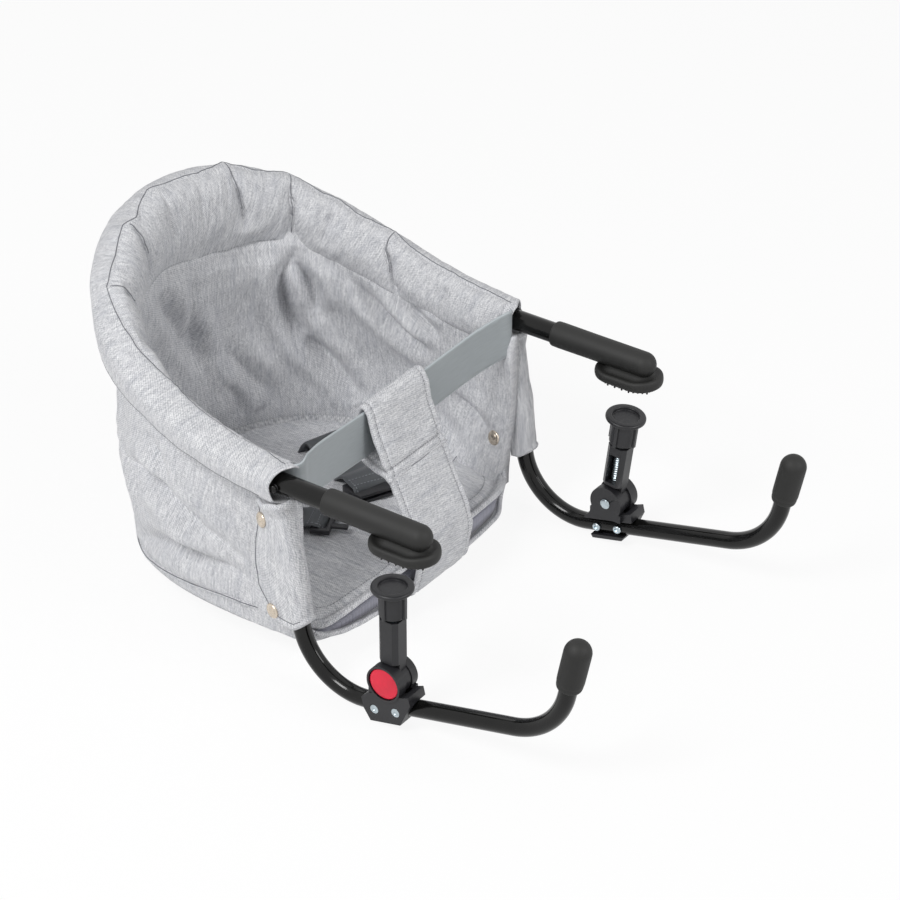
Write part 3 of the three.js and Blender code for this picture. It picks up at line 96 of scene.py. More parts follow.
# Snaps
SNAP_REACH, SNAP_DROPS = 22, {"upper": 38.5, "lower": 127}
WALL_SNAP_Y, WALL_SNAP_Z = 118, -97.5
SEAT_SNAP_X, SEAT_SNAP_Y, SEAT_SNAP_Z = 34, 96, -121.5


def linear(red, green, blue):
    """A colour written as on a screen, from 0 to 255, as the light it stands for."""
    return tuple(
        c / 12.92 if c <= 0.04045 else ((c + 0.055) / 1.055) ** 2.4
        for c in (red / 255, green / 255, blue / 255)
    )


def colour(name, description, *screen):
    return bpy.props.FloatVectorProperty(
        name=name, description=description, subtype="COLOR", size=3, min=0, max=1, default=linear(*screen))


def length(name, description, millimetres):
    return bpy.props.FloatProperty(name=name, description=description, unit="LENGTH", subtype="DISTANCE",
                                   min=0, default=millimetres * MM)


class ChairColours(bpy.types.PropertyGroup):
    """Colours of the finishes"""
    melange_light: colour("Light yarn", "Lighter yarn of the heather cloth", 246, 246, 247)
    melange_dark: colour("Dark yarn", "Darker yarn of the heather cloth", 150, 152, 159)
    webbing: colour("Webbing", "Front webbing", 158, 164, 167)
    belt: colour("Belt", "Lap belt", 74, 77, 80)
    lining: colour("Lining", "Lining of the seat pocket", 176, 176, 188)
    thread: colour("Thread", "Sewing thread", 150, 152, 157)
    # seam: painted shade, the colour of the dark cords laid in creases, slits and gaps for their shadow
    seam: colour("Seam", "Drawn-in seams", 116, 118, 124)
    enamel: colour("Enamel", "Enamel of the tubes", 11, 11, 10)
    rubber: colour("Rubber", "Grips, soles and caps", 25, 25, 24)
    plastic: colour("Plastic", "Clamps and posts", 33, 33, 36)
    button: colour("Button", "Release button", 226, 22, 58)
    zinc: colour("Zinc", "Screws, pins and spindles", 196, 208, 214)
    nickel: colour("Nickel", "Snap fasteners", 224, 211, 194)
    floor: colour("Floor", "Studio floor", 252, 252, 252)


class ChairSizes(bpy.types.PropertyGroup):
    """Sizes of the sewing and the surface detail"""
    stitch_pitch: length("Stitch pitch", "From one stitch to the next", 3.4)
    stitch_length: length("Stitch length", "Length of one stitch", 2.5)
    stitch_width: length("Stitch width", "Thickness of the sewing thread", 0.75)
    nub_radius: length("Nub radius", "Radius of the nubs under the soles", 1.15)
    nub_height: length("Nub height", "Height of the nubs under the soles", 3.2)
    edge_round: length("Edge round", "Rounding of the moulded edges", 0.5)
    weave_pitch: length("Weave pitch", "From one twill line of the cloth to the next", 1.7)
    # the width of the painted-shade cords of the drawn-in seams
    seam_width: length("Seam width", "Width of a drawn-in seam", 0.8)


def colours():
    return bpy.context.scene.chair_colours


def sizes():
    return bpy.context.scene.chair_sizes


# Finishes

class Graph:
    """A node tree, and short ways to add nodes to it."""

    def __init__(self, tree):
        self.tree = tree

    def node(self, kind, inputs=None, **settings):
        made = self.tree.nodes.new(kind)
        for key, value in settings.items():
            setattr(made, key, value)
        for key, value in (inputs or {}).items():
            self.feed(made, key, value)
        return made

    def feed(self, node, key, value):
        if isinstance(value, bpy.types.NodeSocket):
            self.tree.links.new(value, node.inputs[key])
        else:
            node.inputs[key].default_value = value

    def math(self, operation, a, b=0.5):
        return self.node("ShaderNodeMath", {0: a, 1: b}, operation=operation).outputs[0]

    def weighed(self, first, second):
        """Sum of two values, each times its weight."""
        return self.math("ADD", self.math("MULTIPLY", *first), self.math("MULTIPLY", *second))

    def seen_rays(self):
        """One for rays from the camera, from a mirror or through glass, and none for light."""
        path = self.node("ShaderNodeLightPath").outputs
        found = path["Is Camera Ray"]
        for kind in ("Is Glossy Ray", "Is Transmission Ray"):
            found = self.math("MAXIMUM", found, path[kind])
        return found


class Finish(Graph):
    """A material with one principled shader, and short ways to add textures to it."""

    def __init__(self, name, roughness, metallic=0.0):
        self.material = bpy.data.materials.new(name)
        self.material.use_nodes = True
        super().__init__(self.material.node_tree)
        self.shader = self.tree.nodes["Principled BSDF"]
        self.feed(self.shader, "Roughness", roughness)
        self.feed(self.shader, "Metallic", metallic)

    def object_place(self):
        return self.node("ShaderNodeTexCoord").outputs["Object"]

    def cloth_place(self):
        return self.node("ShaderNodeUVMap", uv_map="cloth").outputs["UV"]

    def stretched(self, place, scale, turn=0.0):
        mapping = self.node("ShaderNodeMapping", {"Vector": place, "Scale": scale})
        mapping.inputs["Rotation"].default_value = (0, 0, turn)
        return mapping.outputs["Vector"]

    def noise(self, place, scale, detail=3.0, roughness=0.55):
        made = self.node("ShaderNodeTexNoise", {
            "Vector": place, "Scale": scale, "Detail": detail, "Roughness": roughness})
        return made.outputs[0]

    def bands(self, place, pitch, direction="X", wobble=0.0):
        made = self.node("ShaderNodeTexWave", {
            "Vector": place, "Scale": math.pi / 10 / pitch, "Distortion": wobble, "Detail": 1.0},
            wave_type="BANDS", bands_direction=direction)
        return made.outputs[1]

    def ramp(self, value, *stops):
        made = self.node("ShaderNodeValToRGB", {0: value})
        ramp = made.color_ramp
        while len(ramp.elements) < len(stops):
            ramp.elements.new(0.5)
        for element, (place, shade) in zip(ramp.elements, stops):
            element.position = place
            element.color = (*shade, 1)
        return made.outputs[0]

    def span(self, value, low, high):
        made = self.node("ShaderNodeMapRange", {"Value": value, "To Min": low, "To Max": high})
        return made.outputs[0]

    def mix(self, share, first, second):
        made = self.node("ShaderNodeMix", {0: share}, data_type="RGBA", blend_type="MIX")
        for index, value in ((6, first), (7, second)):
            self.feed(made, index, value if isinstance(value, bpy.types.NodeSocket) else (*value, 1))
        return made.outputs[2]

    def bump(self, height, distance, strength):
        made = self.node("ShaderNodeBump", {"Height": height, "Distance": distance, "Strength": strength})
        return made.outputs["Normal"]

    def finish(self, base=None, roughness=None, normal=None, **constants):
        for key, value in (("Base Color", base), ("Roughness", roughness), ("Normal", normal)):
            if value is not None:
                self.feed(self.shader, key, value)
        for key, value in constants.items():
            self.shader.inputs[key.replace("_", " ")].default_value = value
        return self.material


def dim(shade, share):
    return [share * c for c in shade]


def melange_cloth(name, light, dark):
    """Heather twill: light and dark yarns along the cloth, with a diagonal weave across them."""
    f = Finish(name, 0.9)
    place = f.cloth_place()
    pitch = sizes().weave_pitch
    grain = f.noise(f.stretched(place, (640, 300, 1), math.radians(15)), 1, 4, 0.8)
    slub = f.noise(f.stretched(place, (520, 46, 1)), 1, 3, 0.7)
    streak = f.noise(f.stretched(place, (130, 14, 1)), 1, 3, 0.6)
    twill = f.bands(f.stretched(place, (1, 1, 1), math.radians(35)), pitch, "X", 2.2)
    weft = f.bands(f.stretched(place, (1, 1, 1), math.radians(-52)), pitch * 1.2, "X", 2.8)
    yarns = f.weighed((grain, 0.5), (slub, 0.36))
    weave = f.math("MULTIPLY", f.math("ADD", twill, weft), 0.07)
    body = f.ramp(f.math("ADD", yarns, weave), (0.36, dark), (0.64, light))
    cool = [0.8 * d * tint for d, tint in zip(dark, (0.94, 1.0, 1.14))]
    shaded = f.mix(f.ramp(streak, (0.48, (0, 0, 0)), (0.8, (0.3, 0.3, 0.3))), body, cool)
    height = f.weighed((weave, 3.5), (grain, 0.7))
    return f.finish(shaded, f.span(slub, 0.8, 0.98), f.bump(height, 0.00024, 0.55),
                    Sheen_Weight=0.15, Sheen_Roughness=0.5, Specular_IOR_Level=0.2)


def ribbed_webbing(name, shade, edge_lift, width):
    """Satin webbing: fine ribs across, yarns along, and a lighter woven edge."""
    f = Finish(name, 0.55)
    place = f.cloth_place()
    across = f.node("ShaderNodeSeparateXYZ", {0: place}).outputs[1]
    rib = f.bands(place, 0.0011, "X", 0.3)
    yarn = f.noise(f.stretched(place, (60, 2200, 1)), 1, 2)
    edge = f.math("ABSOLUTE", f.math("SUBTRACT", f.math("DIVIDE", across, width), 0.5))
    rim = f.math("GREATER_THAN", edge, 0.474)
    pale = [min(1, c * edge_lift) for c in shade]
    body = f.ramp(yarn, (0.3, dim(shade, 0.86)), (0.7, dim(shade, 1.08)))
    height = f.weighed((rib, 0.8), (yarn, 0.4))
    return f.finish(f.mix(rim, body, pale), f.span(yarn, 0.42, 0.62), f.bump(height, 0.00012, 0.6),
                    Sheen_Weight=0.12, Specular_IOR_Level=0.4)


def gloss_enamel(name, shade):
    f = Finish(name, 0.14)
    place = f.object_place()
    peel = f.noise(place, 900, 2)
    dust = f.noise(place, 60, 4)
    body = f.ramp(dust, (0.35, dim(shade, 0.75)), (0.75, dim(shade, 1.3)))
    return f.finish(body, f.span(dust, 0.1, 0.2), f.bump(peel, 0.00003, 0.3), Specular_IOR_Level=0.32)


def moulded(name, shade, roughness, grain, depth):
    """Moulded rubber or plastic: a fine grain, and a slight bloom that varies over the surface."""
    f = Finish(name, roughness)
    place = f.object_place()
    pores = f.noise(place, grain, 3)
    bloom = f.noise(place, 35, 4)
    body = f.ramp(bloom, (0.3, dim(shade, 0.82)), (0.72, dim(shade, 1.2)))
    return f.finish(body, f.span(bloom, roughness - 0.09, roughness + 0.1), f.bump(pores, depth, 0.5),
                    Specular_IOR_Level=0.45)


def plated_metal(name, shade, roughness, brush):
    f = Finish(name, roughness, 1.0)
    place = f.object_place()
    lines = f.noise(f.stretched(place, brush), 1, 3)
    stain = f.noise(place, 180, 3)
    body = f.ramp(stain, (0.3, dim(shade, 0.72)), (0.7, shade))
    return f.finish(body, f.span(lines, roughness - 0.08, roughness + 0.14), f.bump(lines, 0.00003, 0.5))


def sewing_thread(name, shade):
    f = Finish(name, 0.8)
    twist = f.bands(f.object_place(), 0.0007, "DIAGONAL", 0.6)
    body = f.mix(f.span(twist, 0.0, 0.45), shade, dim(shade, 0.6))
    return f.finish(body, f.span(twist, 0.7, 0.9))


FINISHES = {}


def make_finishes():
    c = {key: tuple(getattr(colours(), key)) for key in ChairColours.__annotations__}
    FINISHES.update({
        "melange": melange_cloth("melange_cloth", c["melange_light"], c["melange_dark"]),
        "lining": melange_cloth("pocket_lining", c["lining"], dim(c["lining"], 0.6)),
        "webbing": ribbed_webbing("satin_webbing", c["webbing"], 1.35, WEBBING_WIDTH * MM),
        "belt": ribbed_webbing("lap_belt_webbing", c["belt"], 1.1, BELT_WIDTH * MM),
        "enamel": gloss_enamel("black_enamel", c["enamel"]),
        "rubber": moulded("matt_rubber", c["rubber"], 0.62, 1400, 0.00008),
        "plastic": moulded("satin_plastic", c["plastic"], 0.42, 1900, 0.00004),
        "red": moulded("button_red", c["button"], 0.36, 1700, 0.00004),
        "zinc": plated_metal("zinc_plate", c["zinc"], 0.26, (240, 240, 1600)),
        "nickel": plated_metal("nickel_plate", c["nickel"], 0.24, (900, 900, 900)),
        "thread": sewing_thread("grey_thread", c["thread"]),
        # drawn-in seams are painted crease shade: dark cords for the shadow in creases and slits
        "seam": sewing_thread("drawn_in_seam", c["seam"]),
    })


# Mesh making

def smoothstep(low, high, value):
    share = np.clip((np.asarray(value, float) - low) / (high - low), 0, 1)
    return share * share * (3 - 2 * share)


def unit(vectors):
    return vectors / np.linalg.norm(vectors, axis=-1, keepdims=True)


def lattice(rows, cols, wrap=False):
    """Quads over a lattice of points, and the lattice place of each of their corners."""
    across = cols if wrap else cols - 1
    i, j = (a.ravel() for a in np.meshgrid(np.arange(rows - 1), np.arange(across), indexing="ij"))
    places = np.stack([np.stack(p, -1) for p in ((i, j), (i, j + 1), (i + 1, j + 1), (i + 1, j))], 1)
    return places[..., 0] * cols + places[..., 1] % cols, places


def link_object(name, data):
    made = bpy.data.objects.new(name, data)
    bpy.context.scene.collection.objects.link(made)
    return made


class Shape:
    """Points, faces and cloth places of a closed mesh under way."""

    def __init__(self):
        self.points, self.faces, self.places = [], [], []
        self.count = 0

    def sheet(self, points, wrap=False, spans=None):
        """A lattice of points. spans gives the cloth's length along the rows and along the columns."""
        rows, cols = points.shape[:2]
        quads, corners = lattice(rows, cols, wrap)
        if spans is None:
            looped = np.concatenate([points, points[:, :1]], 1) if wrap else points
            along = np.linalg.norm(np.diff(points, axis=0), axis=-1).mean(1)
            across = np.linalg.norm(np.diff(looped, axis=1), axis=-1).max(0)
            spans = np.concatenate([[0], np.cumsum(along)]), np.concatenate([[0], np.cumsum(across)])
        place = np.stack([spans[0][corners[..., 0]], spans[1][corners[..., 1]]], -1) * MM
        self.points.append(points.reshape(-1, 3))
        self.faces += [tuple(q) for q in (quads + self.count).tolist()]
        self.places += place.reshape(-1, 2).tolist()
        self.count += rows * cols
        return self

    def cap(self, ring):
        """A flat end on a ring of points."""
        middle = ring.mean(0)
        around = np.concatenate([ring, middle[None]])
        n = len(ring)
        self.points.append(around)
        for j in range(n):
            self.faces.append((self.count + j, self.count + (j + 1) % n, self.count + n))
            self.places += [(p[:2] * MM).tolist() for p in (ring[j], ring[(j + 1) % n], middle)]
        self.count += n + 1
        return self

    def loft(self, rings):
        """A closed solid through rings of points, with flat ends."""
        return self.sheet(rings, wrap=True).cap(rings[0]).cap(rings[-1])

    def object(self, name, finish, sharp=None):
        mesh = bpy.data.meshes.new(name)
        mesh.from_pydata((np.concatenate(self.points) * MM).tolist(), [], self.faces)
        layer = mesh.uv_layers.new(name="cloth")
        layer.data.foreach_set("uv", np.array(self.places, dtype=np.float32).ravel())
        work = bmesh.new()
        work.from_mesh(mesh)
        bmesh.ops.remove_doubles(work, verts=work.verts, dist=2e-6)
        bmesh.ops.dissolve_degenerate(work, edges=work.edges, dist=1e-7)
        bmesh.ops.recalc_face_normals(work, faces=work.faces)
        if work.calc_volume(signed=True) < 0:
            bmesh.ops.reverse_faces(work, faces=work.faces)
        work.to_mesh(mesh)
        work.free()
        made = link_object(name, mesh)
        mesh.shade_smooth()
        if sharp:
            mesh.set_sharp_from_angle(angle=math.radians(sharp))
        made.data.materials.append(FINISHES[finish])
        return made


def settle(piece):
    """Turns the piece and its modifiers into a plain mesh."""
    graph = bpy.context.evaluated_depsgraph_get()
    made = bpy.data.meshes.new_from_object(piece.evaluated_get(graph))
    old, name = piece.data, piece.name
    piece.modifiers.clear()
    piece.data = made
    bpy.data.meshes.remove(old)
    made.name = name
    return piece


def place_piece(piece, body, slot, *nodes):
    """Lets a finished piece ride on a body and hides the CAD nodes that it stands for. slot is not used."""
    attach(piece, body)
    if nodes:
        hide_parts(*nodes)
    return piece


def ring_piece(name, rings, finish, sharp, body, *nodes):
    """A piece through closed rings of points, placed on its body."""
    made = Shape().sheet(rings, wrap=True).object(name, finish, sharp)
    return place_piece(made, body, finish, *nodes)


def padded_piece(shape, name, fill, *nodes):
    """A padded piece of the seat, in the heather cloth."""
    made = place_piece(shape.object(name, "melange"), "seat", "melange", *nodes)
    return made


def rounded(corners, steps=5):
    """A line through [across, along, round] corners, each eased over its round."""
    points = []
    flat = [np.array(c[:2], float) for c in corners]
    for i, corner in enumerate(corners):
        ease = corner[2] if len(corner) > 2 else 0
        if not ease or i in (0, len(corners) - 1):
            points.append(flat[i])
            continue
        back, ahead = flat[i - 1] - flat[i], flat[i + 1] - flat[i]
        start = flat[i] + back * min(ease / np.linalg.norm(back), 0.49)
        end = flat[i] + ahead * min(ease / np.linalg.norm(ahead), 0.49)
        for u in np.linspace(0, 1, steps + 1):
            points.append((1 - u) ** 2 * start + 2 * u * (1 - u) * flat[i] + u * u * end)
    return np.array(points)


def turned(profile, place, axis, sides=56, hexed=()):
    """Rings of a turned shape from [radius, height] pairs. The rows in hexed are six-sided."""
    axis = unit(np.array(axis, float))
    first = unit(np.cross(axis, (0.3, 0.5, 0.81)))
    second = np.cross(axis, first)
    turn = np.linspace(0, 2 * math.pi, sides, endpoint=False)
    rings = []
    for row, (radius, height) in enumerate(profile):
        reach = radius
        if row in hexed:
            reach = radius * math.cos(math.pi / 6) / np.cos(turn % (math.pi / 3) - math.pi / 6)
        ring = np.outer(np.cos(turn) * reach, first) + np.outer(np.sin(turn) * reach, second)
        rings.append(np.array(place, float) + ring + height * axis)
    return np.array(rings)


def path_frames(path):
    """Directions ahead along a path, level sideways and upright."""
    ahead = unit(np.gradient(path, axis=0))
    side = unit(np.cross((0, 0, 1), ahead))
    return ahead, side, np.cross(ahead, side)


def bar_rings(path, radius, across, sides=40):
    """Rings of a round bar along a path whose sideways direction is across."""
    ahead = unit(np.gradient(path, axis=0))
    over = np.cross(ahead, across)
    turn = np.linspace(0, 2 * math.pi, sides, endpoint=False)[None, :, None]
    return path[:, None] + radius * (np.cos(turn) * across[:, None] + np.sin(turn) * over[:, None])


def even(points, count):
    """The line resampled to evenly spaced points."""
    run = np.concatenate([[0], np.cumsum(np.linalg.norm(np.diff(points, axis=0), axis=1))])
    at = np.linspace(0, run[-1], count)
    return np.stack([np.interp(at, run, points[:, k]) for k in range(points.shape[1])], -1)


def spline(a, b, c, d, u):
    """A run of a smooth curve from b to c, with a and d beyond its ends."""
    cubic = 3 * b - a - 3 * c + d
    return 0.5 * (2 * b + (c - a) * u + (2 * a - 5 * b + 4 * c - d) * u ** 2 + cubic * u ** 3)


def curved(points, count):
    """An evenly sampled smooth curve through points."""
    p = np.array(points, float)
    p = np.concatenate([[2 * p[0] - p[1]], p, [2 * p[-1] - p[-2]]])
    u = np.linspace(0, 1, 24, endpoint=False)[:, None]
    runs = [spline(*four, u) for four in zip(p, p[1:], p[2:], p[3:])]
    return even(np.concatenate([*runs, p[-2:-1]]), count)


def closed_curve(controls, per_span):
    """Smooth closed sections through control points. controls is [points, sections, 2]."""
    u = np.linspace(0, 1, per_span, endpoint=False)[:, None, None]
    n = len(controls)
    runs = [spline(*(controls[(i + k) % n][None] for k in (-1, 0, 1, 2)), u) for i in range(n)]
    return np.concatenate(runs).transpose(1, 0, 2)


def ripple(points, scale, seed=0.0):
    """Soft noise, from -1 to 1, at places given in millimetres."""
    flat = points.reshape(-1, points.shape[-1]) / scale
    values = [noise.noise(Vector((*p, seed)[:3]) + Vector((seed, seed * 1.7, -seed))) for p in flat]
    return np.array(values).reshape(points.shape[:-1])


def ripples(points, *parts):
    """Sum of ripples, each with its rise, size and seed."""
    return sum(rise * ripple(points, size, seed) for rise, size, seed in parts)


def to_side(points, side):
    """Points made for the child's left, moved to that side."""
    return points * np.array([SIDES[side], 1, 1])


# Solids that are cut and joined

def solid(shape, sharp=None):
    return shape.object("solid", "plastic", sharp)


def block(x0, x1, y0, y1, z0, z1):
    ring = np.array([[x0, y0], [x1, y0], [x1, y1], [x0, y1]], float)
    return np.array([[(x, y, z) for x, y in ring] for z in (z0, z1)])


def prism(outline, x0, x1):
    """Rings of an outline in Y and Z, drawn out along X."""
    return np.array([[(x, y, z) for y, z in outline] for x in (x0, x1)], float)


def rod(start, end, diameter, sides=72):
    start, end = np.array(start, float), np.array(end, float)
    return turned([(diameter / 2, 0), (diameter / 2, np.linalg.norm(end - start))], start, end - start, sides)


def rod_x(x0, x1, diameter, y=0, z=0):
    return rod((x0, y, z), (x1, y, z), diameter)


def combine(base, operation, *rings):
    """Joins lofted solids to a base, or cuts them out of it."""
    tools = [solid(Shape().loft(r)) for r in rings]
    for tool in tools:
        change = base.modifiers.new("combine", "BOOLEAN")
        change.operation, change.object, change.solver = operation, tool, "EXACT"
    settle(base)
    for tool in tools:
        mesh = tool.data
        bpy.data.objects.remove(tool)
        bpy.data.meshes.remove(mesh)
    return base


def ease_edges(piece, width, angle=38, segments=2):
    change = piece.modifiers.new("round", "BEVEL")
    change.width, change.segments = width, segments
    change.limit_method, change.angle_limit = "ANGLE", math.radians(angle)
    settle(piece)
    piece.data.shade_smooth()
    piece.data.set_sharp_from_angle(angle=math.radians(52))
    return piece


def tilted(rings, angle, place):
    """Rings turned about the X axis, then moved."""
    c, s = math.cos(angle), math.sin(angle)
    x, y, z = rings[..., 0], rings[..., 1], rings[..., 2]
    return np.stack([x, y * c - z * s, y * s + z * c], -1) + np.array(place, float)


def spun(rings, angle):
    """Rings turned about the Z axis."""
    c, s = math.cos(angle), math.sin(angle)
    x, y, z = rings[..., 0], rings[..., 1], rings[..., 2]
    return np.stack([x * c - y * s, x * s + y * c, z], -1)


def along_lower(rings):
    return tilted(rings, -LOWER_SLOPE, (ARM_X, 0, LOWER_Z))


def at_hub(rings, lean=0.0):
    return tilted(rings, lean, (ARM_X, 0, HUB_Z))


def on_leg(points):
    """Points given about the left pivot, with the lower tube down -Z, moved to the leg."""
    return tilted(points, -LEG_LEAN, PIVOT)


# Geometry nodes

class Growth(Graph):
    """A geometry node tree with a geometry input, named length inputs and a material input."""

    def __init__(self, name, *lengths):
        super().__init__(bpy.data.node_groups.new(name, "GeometryNodeTree"))
        add = self.tree.interface.new_socket
        add("Geometry", in_out="INPUT", socket_type="NodeSocketGeometry")
        for label in lengths:
            add(label, in_out="INPUT", socket_type="NodeSocketFloat")
        add("Material", in_out="INPUT", socket_type="NodeSocketMaterial")
        add("Geometry", in_out="OUTPUT", socket_type="NodeSocketGeometry")
        self.given = self.node("NodeGroupInput").outputs

    def end(self, source):
        real = self.node("GeometryNodeRealizeInstances", {"Geometry": source})
        paint = self.node("GeometryNodeSetMaterial", {
            "Geometry": real.outputs["Geometry"], "Material": self.given["Material"]})
        self.node("NodeGroupOutput", {"Geometry": paint.outputs["Geometry"]})
        return self.tree


def stitch_tree():
    """Stitches at an even pitch along the edges of a line mesh."""
    g = Growth("stitch_rows", "Pitch", "Length", "Width")
    line = g.node("GeometryNodeMeshToCurve", {"Mesh": g.given["Geometry"]})
    points = g.node("GeometryNodeCurveToPoints", {
        "Curve": line.outputs["Curve"], "Length": g.given["Pitch"]}, mode="LENGTH")
    stitch = g.node("GeometryNodeMeshUVSphere", {"Segments": 6, "Rings": 5, "Radius": 0.5})
    turn = g.node("FunctionNodeAlignRotationToVector", {"Vector": points.outputs["Tangent"]}, axis="X")
    size = g.node("ShaderNodeCombineXYZ", {
        "X": g.given["Length"], "Y": g.given["Width"], "Z": g.given["Width"]})
    spread = g.node("GeometryNodeInstanceOnPoints", {
        "Points": points.outputs["Points"], "Instance": stitch.outputs["Mesh"],
        "Rotation": turn.outputs["Rotation"], "Scale": size.outputs["Vector"]})
    return g.end(spread.outputs["Instances"])


def crease_shade_tree():
    """A thin drawn-in seam along the edges of a line mesh: a dark cord of painted shade for the crease's
    shadow.
    """
    g = Growth("seam_lines", "Width")
    line = g.node("GeometryNodeMeshToCurve", {"Mesh": g.given["Geometry"]})
    section = g.node("GeometryNodeCurvePrimitiveCircle", {
        "Resolution": 6, "Radius": g.math("MULTIPLY", g.given["Width"], 0.5)})
    seam = g.node("GeometryNodeCurveToMesh", {
        "Curve": line.outputs["Curve"], "Profile Curve": section.outputs["Curve"], "Fill Caps": True})
    return g.end(seam.outputs["Mesh"])


def nub_tree():
    """A tapered nub below each point of a mesh."""
    g = Growth("sole_nubs", "Radius", "Height")
    nub = g.node("GeometryNodeMeshCone", {
        "Vertices": 10, "Side Segments": 2, "Radius Top": g.given["Radius"],
        "Radius Bottom": g.math("MULTIPLY", g.given["Radius"], 0.72), "Depth": g.given["Height"]})
    spread = g.node("GeometryNodeInstanceOnPoints", {
        "Points": g.given["Geometry"], "Instance": nub.outputs["Mesh"]})
    return g.end(spread.outputs["Instances"])


def grown(name, points, edges, tree, values, finish):
    """A piece grown by a node tree from points and edges."""
    mesh = bpy.data.meshes.new(name)
    mesh.from_pydata((np.asarray(points) * MM).tolist(), edges, [])
    made = link_object(name, mesh)
    change = made.modifiers.new("grow", "NODES")
    change.node_group = tree
    for item in tree.interface.items_tree:
        if item.in_out == "INPUT" and item.name in values:
            change[item.identifier] = values[item.name]
        elif item.in_out == "INPUT" and item.name == "Material":
            change[item.identifier] = FINISHES[finish]
    settle(made)
    made.data.shade_smooth()
    return made


def line_mesh(lines):
    """Points and edges of open lines."""
    points, edges = [], []
    for line in lines:
        first = len(points)
        points += [tuple(p) for p in line]
        edges += [(first + i, first + i + 1) for i in range(len(line) - 1)]
    return points, edges


def sew(name, lines, body, slot="melange"):
    """Rows of stitches along lines of points."""
    tree = bpy.data.node_groups.get("stitch_rows") or stitch_tree()
    values = {"Pitch": sizes().stitch_pitch, "Length": sizes().stitch_length, "Width": sizes().stitch_width}
    return place_piece(grown(name, *line_mesh(lines), tree, values, "thread"), body, slot)


def paint_crease_shade(name, lines, body, slot="melange"):
    """Dark seams along lines of points, where the cloth is drawn in: cords of painted shade that stand in for
    the shadow of the crease.
    """
    tree = bpy.data.node_groups.get("seam_lines") or crease_shade_tree()
    values = {"Width": sizes().seam_width}
    return place_piece(grown(name, *line_mesh(lines), tree, values, "seam"), body, slot)


# Tubes, grips and caps

def u_plan(half, depth, front):
    """Plan of a U from the right front, round the back, to the left front: x, y and share of the depth."""
    turn = np.linspace(0, math.pi, 4001)
    share = np.abs(np.sin(turn)) ** (2 / RIM_ROUNDNESS)
    curve = np.stack([-half * np.cos(turn), RIM_START_Y + depth * share, share], -1)
    return np.concatenate([[[-half, front, 0]], curve, [[half, front, 0]]])


def rim_line(front, count, half=ARM_X, depth=RIM_DEPTH):
    """Middle line of the rim with the share of its depth."""
    plan = even(u_plan(half, depth, front), count)
    share = plan[:, 2]
    return np.stack([plan[:, 0], plan[:, 1], ARM_Z + RIM_RISE * share ** 2], -1), share


LEG_DOWN = np.array([0, -math.sin(LEG_LEAN), -math.cos(LEG_LEAN)])
LOWER_AHEAD = np.array([0, -math.cos(LOWER_SLOPE), math.sin(LOWER_SLOPE)])
TIP_UP = np.array([0, -math.sin(TIP_LEAN), math.cos(TIP_LEAN)])
PIVOT = np.array([ARM_X, PIVOT_Y, ARM_Z], float)
LOWER_PITCH = math.tan(LOWER_SLOPE)
LEG_FALL = (PIVOT_Y * LOWER_PITCH + ARM_Z - LOWER_Z) / (math.cos(LEG_LEAN) + math.sin(LEG_LEAN) * LOWER_PITCH)
REAR_CORNER = PIVOT + LEG_FALL * LEG_DOWN
FRONT_CORNER = np.array([ARM_X, FRONT_CORNER_Y, LOWER_Z - FRONT_CORNER_Y * LOWER_PITCH])


def bend(corner, toward, away, radius, steps=26):
    turn = math.acos(float(toward @ away))
    inward = unit(away - toward * float(toward @ away))
    start = corner - toward * radius * math.tan(turn / 2)
    angle = np.linspace(0, turn, steps)[:, None]
    return start + radius * (np.sin(angle) * toward + (1 - np.cos(angle)) * inward)


def lower_line():
    """Middle line of the left lower tube, from the yoke down, forward and up into the cap."""
    corners = np.concatenate([
        [PIVOT + LEG_TOP_DROP * LEG_DOWN],
        bend(REAR_CORNER, LEG_DOWN, LOWER_AHEAD, REAR_BEND_R),
        bend(FRONT_CORNER, LOWER_AHEAD, TIP_UP, FRONT_BEND_R),
        [FRONT_CORNER + TIP_RUN * TIP_UP],
    ])
    return even(corners, 190)


class CHAIR_OT_tubes(bpy.types.Operator):
    """Enamelled seat frame and lower tubes"""
    bl_idname = "chair.tubes"
    bl_label = "Tubes"

    def execute(self, context):
        path, _ = rim_line(ARM_FRONT_Y, 300)
        rings = bar_rings(path, FRAME_R, path_frames(path)[1])
        made = Shape().loft(rings).object("frame_tube", "enamel", 60)
        place_piece(made, "seat", "enamel", "seat_frame_tube")
        path = lower_line()
        rings = bar_rings(path, LEG_R, np.tile((1.0, 0, 0), (len(path), 1)))
        for side in SIDES:
            made = Shape().loft(to_side(rings, side)).object(f"{side}_lower_tube", "enamel", 60)
            place_piece(made, f"{side}_leg", "enamel", f"{side}_leg_tube")
        return {"FINISHED"}


def dome(radius, foot, steps=14):
    return [(radius * math.cos(a), foot + radius * math.sin(a)) for a in np.linspace(0, math.pi / 2, steps)]


def sole_ring(inset, height, lift):
    """A stadium outline of the sole at an inset from its edge."""
    radius, half = SOLE_HALF - inset, SOLE_LENGTH / 2 - SOLE_HALF
    turn = np.linspace(0, math.pi, 25)
    front = np.stack([-radius * np.cos(turn), -half - radius * np.sin(turn)], -1)
    back = np.stack([radius * np.cos(turn), half + radius * np.sin(turn)], -1)
    plan = np.concatenate([front, back])
    rise = lift * smoothstep(6, 30, -plan[:, 1])
    return np.stack([plan[:, 0] + ARM_X, plan[:, 1] + SOLE_MIDDLE_Y, height + rise], -1)


